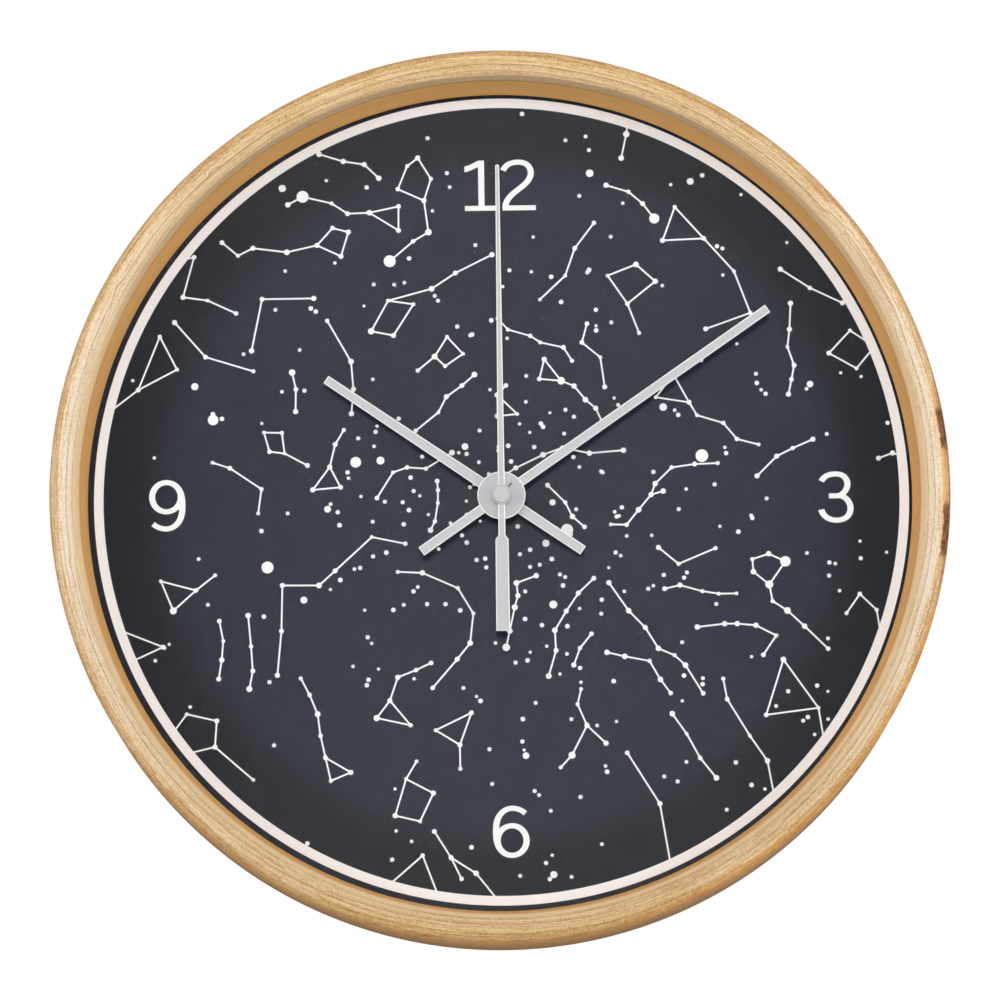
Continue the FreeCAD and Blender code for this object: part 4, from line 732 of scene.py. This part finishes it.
# %% Figures set out over the dial
# A figure is drawn again until it keeps off the ones before it, the numerals and the hoop.
FAR_AWAY = 9.0
stars, sizes, lines, taken = [], [], [], np.array([[FAR_AWAY, FAR_AWAY]])
tries = 0
while len(stars) < FIGURES and tries < TRIES:
    tries += 1
    out = rng.uniform(*OUT_SHARE) ** 0.5 * CHART_SPREAD * MM
    aim = rng.uniform(0, 2 * math.pi)
    growth = STEP_GROWTH_MM * out / (CHART_SPREAD * MM)
    size = (STEP_MM + growth) * MM * rng.uniform(*SIZE_SHARE)
    path, joins = figure(size)
    path = path + out * np.array([math.cos(aim), math.sin(aim)])
    ends = path[joins]
    dots = along(ends)
    far = np.linalg.norm(dots, axis=1)
    if nearest(dots, taken) < FIGURE_CLEAR or nearest(dots, NUMERAL_PLACES) < NUMERAL_CLEAR:
        continue
    if far.max() > CHART_R + PAST_RING:
        continue
    taken = np.vstack([taken, dots])
    stars.append(path)
    sizes.append(rng.uniform(*FIGURE_STARS_MM, len(path)) * MM)
    lines.append(ends)
print("figures", len(stars), "lines", sum(map(len, lines)), "tries", tries)

# %% Loose stars
# Half of them lie round the middle by the bell curve, and half evenly over the dial, where the
# distance out is the root of an even draw. A few stand in pairs, and a few are bright or big.
LOOSE, DOUBLES, BRIGHT, BIG = 290, 26, 40, 11
MIDDLE_MM, EVEN_MM = 44, 133
LOOSE_STARS_MM, BRIGHT_STARS_MM, BIG_STARS_MM = (0.52, 0.8), (1.0, 1.35), (1.6, 2.15)
FIGURE_GAP, NUMERAL_GAP, DOUBLE_STEP, RING_GAP = 2.2 * MM, 14 * MM, 2.0 * MM, 1.5 * MM
near_middle = rng.random(2 * LOOSE) < 0.5
out = np.where(near_middle, np.linalg.norm(rng.normal(0, MIDDLE_MM, (2 * LOOSE, 2)), axis=1),
               EVEN_MM * rng.random(2 * LOOSE) ** 0.5) * MM
aim = rng.uniform(0, 2 * math.pi, 2 * LOOSE)
loose = np.stack([out * np.cos(aim), out * np.sin(aim)], 1)
clear = np.linalg.norm(loose[:, None] - taken[None], axis=2).min(1) > FIGURE_GAP
clear &= np.linalg.norm(loose[:, None] - NUMERAL_PLACES[None], axis=2).min(1) > NUMERAL_GAP
loose = loose[clear][:LOOSE]
aim = rng.uniform(0, 2 * math.pi, DOUBLES)
doubles = loose[:DOUBLES] + np.stack([np.cos(aim), np.sin(aim)], 1) * DOUBLE_STEP
star_at = np.vstack(stars + [loose, doubles])
star_r = np.concatenate(sizes + [rng.uniform(*LOOSE_STARS_MM, len(loose) + DOUBLES) * MM])
bright = rng.permutation(len(star_at))[:BRIGHT]
star_r[bright] = rng.uniform(*BRIGHT_STARS_MM, BRIGHT) * MM
star_r[bright[:BIG]] = rng.uniform(*BIG_STARS_MM, BIG) * MM
inside = np.linalg.norm(star_at, axis=1) < CHART_R - RING_GAP
star_at, star_r = star_at[inside], star_r[inside]
print("stars", len(star_at))

# %% [markdown]
# Each star is a small many-sided disc and each line a thin strip. All discs are one array of
# outlines and all strips another, and one function raises both off the dial. Strips are cut where
# they would pass the middle of the ring, by drawing in the end that lies outside: the share of the
# line that stays is the greater root of a quadratic, where the line meets the ring's circle.

# %% Flat pieces raised off the dial
STAR_SIDES = 20
LINE_HALF = 0.28 * MM
INK_T = 0.05 * MM
INK_STEP = 0.04 * MM


def raised(outlines, back, front):
    """Flat pieces from many outlines with one number of corners: two faces and a wall each. Each
    piece's front lies its share of one ink step before the first one's, so that no two overlap in
    one plane."""
    many, corners, _ = outlines.shape
    xz = outlines.reshape(-1, 2) + HUB
    half = len(xz)
    fronts = np.repeat(front - np.arange(many) / many * INK_STEP, corners)
    y = np.concatenate([fronts, np.full(half, back)])
    points = np.stack([np.tile(xz[:, 0], 2), y, np.tile(xz[:, 1], 2)], 1)
    k = np.arange(half).reshape(many, corners)
    k2 = np.roll(k, -1, 1)
    walls = np.stack([k, k2, k2 + half, k + half], 2).reshape(-1, 4)
    return outward(points, [k[:, ::-1], k + half, walls])


print("ink stands", INK_T, "m off the dial")

# %% The printed chart
a = np.linspace(0, 2 * math.pi, STAR_SIDES, endpoint=False)
circle = np.stack([np.cos(a), np.sin(a)], 1)
discs = star_at[:, None] + star_r[:, None, None] * circle[None]

ends = np.concatenate(lines)
reach = np.linalg.norm(ends, axis=2)
ends = ends[reach.min(1) < CHART_R]
for near, other in ((0, 1), (1, 0)):
    p, q = ends[:, near], ends[:, other]
    d = p - q
    aa, bb, cc = (d * d).sum(1), (q * d).sum(1), (q * q).sum(1) - CHART_R ** 2
    cut = (-bb + np.sqrt(np.maximum(bb * bb - aa * cc, 0))) / aa
    ends[:, near] = q + d * np.minimum(cut, 1)[:, None]
d = ends[:, 1] - ends[:, 0]
side = np.stack([-d[:, 1], d[:, 0]], 1) / np.linalg.norm(d, axis=1, keepdims=True) * LINE_HALF
strips = np.stack([ends[:, 0] - side, ends[:, 1] - side, ends[:, 1] + side, ends[:, 0] + side], 1)

piece("printed_stars", [raised(discs, DIAL_Y, DIAL_Y - INK_T)], white_finish, "clock")
piece("printed_star_lines", [raised(strips, DIAL_Y, DIAL_Y - INK_T + INK_STEP)], white_finish,
      "clock")
dress("dial_numerals", white_finish)

# %% [markdown]
# The hands are flat strips sprayed silver grey. Their edges are a little sloped by the press that
# cut them. The thin white lines where these edges catch the light are painted on: partly bare cut
# metal, partly a painted highlight. The minute hand carries a wide, slightly domed disc over the
# hub, and the seconds hand a turned cap.

# %% The hands' finish
SILVER = screen(187, 187, 188)
SILVER_DARK = screen(180, 180, 182)
# White for the hands' sloped edges: partly bare metal, partly a painted highlight.
EDGE_HIGHLIGHT = screen(255, 255, 255)
HUB_SHADE = screen(170, 171, 173)
ARM_SHADE, RIM_HIGHLIGHT, FLAKE = 0.3, 0.6, 4200.0
MARK = screen(84, 84, 88)
HUB_DISC_R = 8.05 * MM
HUB_RIM_MM, HUB_EDGE_MM = (7.6, 7.85), (8.05, 8.1)
HUB_MARK_X, HUB_MARK_Z, HUB_MARK_DEG = 2.9 * MM, 3.4 * MM, 50
HUB_MARK_LONG, HUB_MARK_WIDE = (-0.85, 0.85, 0.15), (-0.25, 0.25, 0.12)


def edged(w, colour):
    """The colour, but white where the attribute cut_edge is 1: partly bare cut metal and partly a
    painted highlight where the sloped edge catches the light.
    """
    edge = w.node("Attribute", {"attribute_name": "cut_edge"}, None, "Fac")
    return w.blend(edge, colour, EDGE_HIGHLIGHT)


def sprayed_silver(w):
    """Two greys mixed by 0.6 of a cloudy noise and 0.4 of fine flakes, which also raise it."""
    place = w.coordinates()
    cloud = w.noise(place, 90.0, 2.0)
    flake = w.noise(place, FLAKE, 1.0)
    plain = w.blend(cloud * 0.6 + flake * 0.4, SILVER_DARK, SILVER)
    return {"Base Color": edged(w, plain), "Roughness": 0.45 + flake * 0.12,
            "Normal": w.bump(flake, 0.01 * MM, 0.15)}


def turned_silver(w):
    """The disc's front is turned, and its sheen is painted: it is lightest along one line through
    its middle, and the painted shade grows with the sine of the direction, plus fine rings. A thin
    painted highlight runs round its rim. Outside the disc the arm takes a fixed share of the darker
    grey. The disc is where the distance from the hub is under its radius. A small slot shows as a
    dark dash: u and v are distances from its middle along and across it."""
    radius, x, z, _ = round_the(w, HUB)
    across = w.math("ABSOLUTE", x / radius)
    rings = w.noise(joined(w, radius * 2600, 0.0, 0.0), detail=1.0)
    flake = w.noise(w.coordinates(), FLAKE, 1.0)
    # Painted sheen: the disc is darker away from its vertical line.
    shade = across.step(0.1, 0.95) * 0.6 + (rings - 0.5) * 0.35 + 0.12
    rim = (radius / MM).step(*HUB_RIM_MM)
    disc = 1 - (radius / MM).step(*HUB_EDGE_MM)
    plain = w.blend(flake, SILVER_DARK, SILVER)
    colour = w.blend(shade * disc + (1 - disc) * ARM_SHADE, plain, HUB_SHADE)
    # Painted highlight round the disc's rim.
    colour = w.blend(rim * disc * RIM_HIGHLIGHT, colour, EDGE_HIGHLIGHT)
    a = math.radians(HUB_MARK_DEG)
    dx, dz = x - HUB_MARK_X, z - HUB_MARK_Z
    u, v = dx * math.cos(a) + dz * math.sin(a), dz * math.cos(a) - dx * math.sin(a)
    mark = (u / MM).between(*HUB_MARK_LONG) * (v / MM).between(*HUB_MARK_WIDE)
    colour = w.blend(mark * disc, colour, MARK)
    return {"Base Color": edged(w, colour), "Roughness": 0.42 + rings * 0.1,
            "Normal": w.bump(rings, 0.008 * MM, 0.3)}


silver_finish = finish_of("silver_spray", sprayed_silver, Metallic=0.2)
disc_finish = finish_of("silver_turned", turned_silver, Metallic=0.2)

# %% The hands' places and outlines
# Each outline has rows of width and place along the hand in millimetres, from tail to tip.
MINUTE_DEG = 55.4
HOUR_DEG = 300 + MINUTE_DEG / 12
EDGE, FINE_EDGE = 0.42 * MM, 0.3 * MM
HOUR_ROWS = [(3.3, -32.9), (3.7, 0), (3.0, 71.0)]
MINUTE_ROWS = [(3.4, -32.8), (3.2, 0), (3.05, 109.6)]
TIP, TIP_AT = 1.3, 112.2
SECONDS_ROWS = [(4.6, -45.9), (4.35, -15.1), (2.3, -13.7), (2.3, 0), (TIP, TIP_AT - TIP / 3),
                (TIP / 2, TIP_AT)]
HOUR_BACK, MINUTE_BACK, SECONDS_BACK = [DIAL_Y - h * MM for h in (5.2, 7.2, 9.2)]
HAND_T, SECONDS_T = 0.6 * MM, 0.5 * MM
HOUR_FRONT, MINUTE_FRONT = HOUR_BACK - HAND_T, MINUTE_BACK - HAND_T
SECONDS_FRONT = SECONDS_BACK - SECONDS_T


def hand(rows, back, front, clockwise, edge=EDGE):
    """One flat hand: half of each width to the right of its middle line, then back to the left."""
    rows = np.array(rows) * MM
    right = np.stack([rows[:, 0] / 2, rows[:, 1]], 1)
    left = np.stack([-rows[::-1, 0] / 2, rows[::-1, 1]], 1)
    return flat(np.vstack([right, left]), back, front, edge, clockwise, HUB)


print("hour hand at", round(HOUR_DEG, 2), "degrees, minute hand at", MINUTE_DEG)

# %% The hour hand and the minute hand
PIPE_BORE, PIPE_R, PIPE_DEEP, PIPE_EASE = 2.52 * MM, 3.6 * MM, 1.3 * MM, 0.1 * MM
hour_bar = hand(HOUR_ROWS, HOUR_BACK, HOUR_FRONT, HOUR_DEG)
collar = eased(washer(PIPE_BORE, PIPE_R, HOUR_FRONT, HOUR_BACK + PIPE_DEEP), PIPE_EASE, 3)
piece("hour_hand_silver", [hour_bar, turned(collar, HUB, 64)], silver_finish, "hours",
      ["hour_hand"])

# The disc's dome falls with the square of the share of its radius.
minute_bar = hand(MINUTE_ROWS, MINUTE_BACK, MINUTE_FRONT, MINUTE_DEG)
DOME, RIM_EASE, DOME_STEPS = 0.5 * MM, 0.15 * MM, 14
share = np.linspace(1, 0, DOME_STEPS)
dome = np.stack([HUB_DISC_R * share, MINUTE_FRONT - DOME * (1 - share ** 2)], 1)
disc_outline = np.vstack([[(0, MINUTE_BACK), (HUB_DISC_R - RIM_EASE, MINUTE_BACK),
                           (HUB_DISC_R, MINUTE_BACK - RIM_EASE)], dome])
piece("minute_hand_silver", [minute_bar, turned(disc_outline, HUB, 128)], disc_finish,
      "minutes", ["minute_hand"])

# %% The seconds hand and its cap
BOSS_BORE, BOSS_R, BOSS_EASE, SMALL_STEPS = 0.6 * MM, 3.4 * MM, 0.08 * MM, 96
seconds_bar = hand(SECONDS_ROWS, SECONDS_BACK, SECONDS_FRONT, 0, FINE_EDGE)
boss = eased(washer(BOSS_BORE, BOSS_R, SECONDS_FRONT, SECONDS_BACK), BOSS_EASE, 3)
piece("seconds_hand_silver", [seconds_bar, turned(boss, HUB, SMALL_STEPS)], silver_finish,
      "seconds", ["seconds_hand"])

CAP_R, CAP_T, CAP_ROUND = 2.85 * MM, 0.8 * MM, 0.25 * MM
SHOULDER_T, SHOULDER_CUT = 0.3 * MM, 0.12 * MM
cap_top = quarter((CAP_R - CAP_ROUND, SECONDS_FRONT - CAP_T + CAP_ROUND), (CAP_ROUND, CAP_ROUND),
                  0, -90, 6)
cap_outline = np.vstack([[(0, SECONDS_FRONT), (BOSS_R, SECONDS_FRONT),
                          (BOSS_R, SECONDS_FRONT - SHOULDER_T * 0.6),
                          (BOSS_R - SHOULDER_CUT, SECONDS_FRONT - SHOULDER_T),
                          (CAP_R, SECONDS_FRONT - SHOULDER_T)],
                         cap_top, [(0, SECONDS_FRONT - CAP_T)]])
piece("turned_cap", [turned(cap_outline, HUB, SMALL_STEPS)], silver_finish, "seconds",
      ["seconds_cap"])

# %% [markdown]
# The lens is a flat clear pane. Glass that bends light would keep the lamps off the dial, so the
# pane is made nearly see-through instead, with more of its shine where it is seen at a slant.

# %% The lens


def clear_pane(w):
    """Nearly see-through: a hair, plus 0.4 of the fourth power of how slanting the view is."""
    slant = w.node("LayerWeight", None, {"Blend": 0.5}, "Facing")
    smudge = w.noise(w.coordinates(), 18.0, 2.0)
    return {"Alpha": 0.004 + slant ** 4.0 * 0.4, "Roughness": 0.03 + smudge * 0.03}


lens_finish = finish_of("clear_pane", clear_pane, Base_Color=(0.03, 0.03, 0.03, 1))
CHAMFER = 0.3 * MM
lens_r, front, back = round_size("lens")
lens_outline = [(0, front), (lens_r - CHAMFER, front), (lens_r, front + CHAMFER),
                (lens_r, back - CHAMFER), (lens_r - CHAMFER, back), (0, back)]
piece("clear_lens_pane", [turned(lens_outline, HOOP, 256)], lens_finish, "clock",
      ["lens"])

# %% [markdown]
# Everything behind the dial keeps the shape of the packed part. One recipe serves most of these
# finishes: two near colours mixed by a cloudy and a fine noise, with the fine one raised a little.
# The grain's size and height tell moulded plastic from sheet steel, brass or pressed board.

# %% One recipe for plain finishes
ROUGH_SWING = 0.2


def mottled(light, dark, cloud_scale, grain_scale, rough, height, stretch=(1, 1, 1)):
    """A build function. The two colours are mixed by 0.6 of the cloudy and 0.4 of the fine noise.
    The fine one also roughens the surface and lifts it by a height. A stretch below 1 draws the
    noise out along that axis, as drawing or winding does."""
    def build(w):
        place = w.node("Mapping", None, {"Vector": w.coordinates(), "Scale": stretch})
        cloud = w.noise(place, cloud_scale, 3.0)
        grain = w.noise(place, grain_scale, 2.0)
        mixed = w.blend(cloud * 0.6 + grain * 0.4, screen(*dark), screen(*light))
        return {"Base Color": mixed, "Roughness": (grain - 0.5) * ROUGH_SWING + rough,
                "Normal": w.bump(grain, height * MM, 0.5)}
    return build


print("the grain moves a roughness by up to", ROUGH_SWING / 2, "each way")

# %% The finishes and the packed nodes that wear them
# Light and dark screen colour, clouds and grains to a metre, roughness, the grain's height in
# millimetres, and the nodes.
RECIPES = {
    "pressed_board": ((128, 96, 66), (96, 68, 44), 60, 900, 0.8, 0.10, "back_board"),
    "zinc_steel": ((196, 198, 202), (160, 162, 168), 240, 1800, 0.36, 0.02, "board_clips",
                   "clip_screws"),
    "case_plastic": ((40, 40, 42), (26, 26, 28), 120, 2600, 0.5, 0.05, "movement_case",
                     "movement_cover"),
    "knob_plastic": ((62, 62, 66), (48, 48, 52), 200, 2600, 0.42, 0.03, "setting_knob"),
    "train_plastic": ((232, 228, 214), (214, 208, 190), 300, 2600, 0.4, 0.02, "middle_plate",
                      "hour_wheel", "minute_wheel", "centre_wheel", "third_wheel",
                      "seconds_wheel", "intermediate_wheel", "rotor_pinion"),
    "turned_brass": ((218, 182, 104), (190, 150, 74), 300, 2200, 0.28, 0.02, "threaded_bush",
                     "brass_washer", "hex_nut", "minute_tube"),
    "washer_rubber": ((44, 44, 44), (28, 28, 28), 200, 1500, 0.75, 0.05, "rubber_washer"),
    "drawn_steel": ((206, 206, 208), (172, 172, 176), 300, 2400, 0.25, 0.01, "seconds_arbor"),
    "sintered_magnet": ((92, 92, 96), (66, 66, 70), 300, 1800, 0.5, 0.04, "rotor_magnet"),
    "stator_iron": ((178, 178, 182), (140, 140, 146), 200, 1600, 0.42, 0.02, "stator_plate",
                    "coil_core"),
    "bobbin_plastic": ((226, 220, 204), (206, 198, 180), 300, 2600, 0.35, 0.02, "coil_bobbin"),
    "copper_wire": ((196, 104, 56), (150, 70, 34), 200, 2400, 0.3, 0.05, "coil_winding"),
    "circuit_green": ((52, 120, 74), (30, 88, 52), 260, 2000, 0.4, 0.02, "circuit_board"),
    "crystal_can": ((222, 222, 224), (190, 190, 194), 200, 1600, 0.2, 0.01, "quartz_crystal"),
    "chip_resin": ((34, 34, 36), (20, 20, 22), 200, 1600, 0.45, 0.04, "chip"),
    "spring_steel": ((214, 212, 206), (184, 182, 176), 200, 1600, 0.3, 0.01, "positive_contact",
                     "negative_contact"),
    "cell_steel": ((214, 214, 216), (184, 184, 188), 200, 2000, 0.26, 0.01, "battery_cell"),
    "cell_wrap": ((70, 104, 120), (54, 86, 102), 90, 1600, 0.3, 0.01, "battery_sleeve"),
}
METALS = {"zinc_steel", "turned_brass", "drawn_steel", "sintered_magnet", "stator_iron",
          "copper_wire", "crystal_can", "spring_steel", "cell_steel"}
STRETCHED = {"copper_wire": (1, 0.08, 0.08), "drawn_steel": (1, 0.05, 1),
             "zinc_steel": (1, 1, 0.2), "pressed_board": (1, 1, 0.5)}
dressed = []
for name, (light, dark, clouds, grains, rough, height, *nodes) in RECIPES.items():
    stretch = STRETCHED.get(name, (1, 1, 1))
    build = mottled(light, dark, clouds, grains, rough, height, stretch)
    finish = finish_of(name, build, Metallic=1.0 if name in METALS else 0.0)
    for node in nodes:
        dress(node, finish)
    dressed += nodes
print("finishes", len(RECIPES), "nodes dressed", len(dressed))

# %% [markdown]
# The photograph looks slightly up at the clock from two metres away with a long lens. The world is
# plain white to the camera and to shiny things, and dimmer as a lamp, so the wood keeps its shape.
# Two soft lamps stand at the sides and a weaker one above. A tall strip stands in front, behind the
# camera: its blurred mirror image is the sheen on the dial, as wide as the sheen in the photograph.
# A lamp behind lights the movement for views from there. The floor lies well below.

# %% Camera
UPWARD_DEG, DISTANCE, FOCAL_PX, IMAGE_PX, SENSOR_MM = 8.1, 2.0809, 6199, 1000, 36
ROLL_DEG, LIFT_PX = -0.75, -0.6
aim = Vector((float(HOOP[0]), DIAL_Y, float(HOOP[1])))
# The camera stands away from the clock along a line that falls by the upward angle.
tilt = math.radians(UPWARD_DEG)
away = Vector((0, -math.cos(tilt), -math.sin(tilt)))
lens_data = bpy.data.cameras.new("camera")
lens_data.sensor_width = SENSOR_MM
lens_data.lens = FOCAL_PX / IMAGE_PX * SENSOR_MM
lens_data.shift_y = LIFT_PX / IMAGE_PX
camera = added("camera", lens_data)
camera.location = aim + away * DISTANCE
camera.rotation_mode = "QUATERNION"
roll = Quaternion((0, 0, 1), math.radians(ROLL_DEG))
camera.rotation_quaternion = (-away).to_track_quat("-Z", "Y") @ roll
bpy.context.scene.camera = camera
print("camera", tuple(round(v, 3) for v in camera.location))

# %% Light
AMBIENT = 0.22


def lamp(name, place, width, height, power, colour=(1, 1, 1)):
    """A soft rectangular lamp that points at the clock: its minus z lies along the line to it."""
    data = bpy.data.lights.new(name, "AREA")
    data.shape = "RECTANGLE"
    data.size = width
    data.size_y = height
    data.energy = power
    data.color = colour
    made = added(name, data)
    made.location = place
    made.rotation_mode = "QUATERNION"
    made.rotation_quaternion = (aim - Vector(place)).to_track_quat("-Z", "Y")
    print(name, power, "W")


lamp("left_lamp", (-1.85, -1.3, 0.2), 0.9, 0.9, 12.5)
lamp("right_lamp", (1.85, -1.3, 0.2), 0.9, 0.9, 14.5)
lamp("top_lamp", (0.0, -1.4, 1.7), 0.9, 0.9, 7.5)
lamp("front_strip", (0.0, -2.5, 0.3), 0.51, 2.2, 22, (0.96, 0.98, 1.0))
lamp("back_lamp", (0.6, 1.9, 1.3), 1.2, 1.2, 12)

# %% The world
# What the camera or a reflection sees of it is white, and what it sheds as light is the ambient.
world = bpy.data.worlds.new("studio")
world.use_nodes = True
tree = world.node_tree
tree.nodes.clear()
w = Wire(tree)
seen = w.node("LightPath", out="Is Camera Ray")
for ray in ("Is Glossy Ray", "Is Transmission Ray"):
    seen = w.math("MAXIMUM", seen, w.node("LightPath", out=ray))
white, dim = [w.node("Background", None, {"Color": (1, 1, 1, 1), "Strength": strength})
              for strength in (1.0, AMBIENT)]
both = w.node("MixShader", None, {0: seen, 1: dim, 2: white})
output = tree.nodes.new("ShaderNodeOutputWorld")
tree.links.new(both.out, output.inputs["Surface"])
bpy.context.scene.world = world
print("world white, ambient", AMBIENT)

# %% Floor
FLOOR_Z, FLOOR_HALF = -0.75, 6.0
FLOOR_DARK, FLOOR_LIGHT = (0.80, 0.80, 0.80, 1), (0.84, 0.84, 0.84, 1)


def pale_floor(w):
    """Two near whites mixed by a large cloudy noise."""
    cloud = w.noise(w.coordinates(), 3.0, 3.0)
    return {"Base Color": w.blend(cloud, FLOOR_DARK, FLOOR_LIGHT),
            "Roughness": 0.7 + cloud * 0.1}


floor_finish = finish_of("pale_floor", pale_floor)
SIGNS = (-1, -1), (1, -1), (1, 1), (-1, 1)
corners = [(x * FLOOR_HALF, y * FLOOR_HALF, FLOOR_Z) for x, y in SIGNS]
mesh = bpy.data.meshes.new("floor")
mesh.from_pydata(corners, [], [(0, 1, 2, 3)])
mesh.materials.append(floor_finish)
floor = added("floor", mesh)

# %% The view transform
bpy.context.scene.view_settings.view_transform = "Standard"
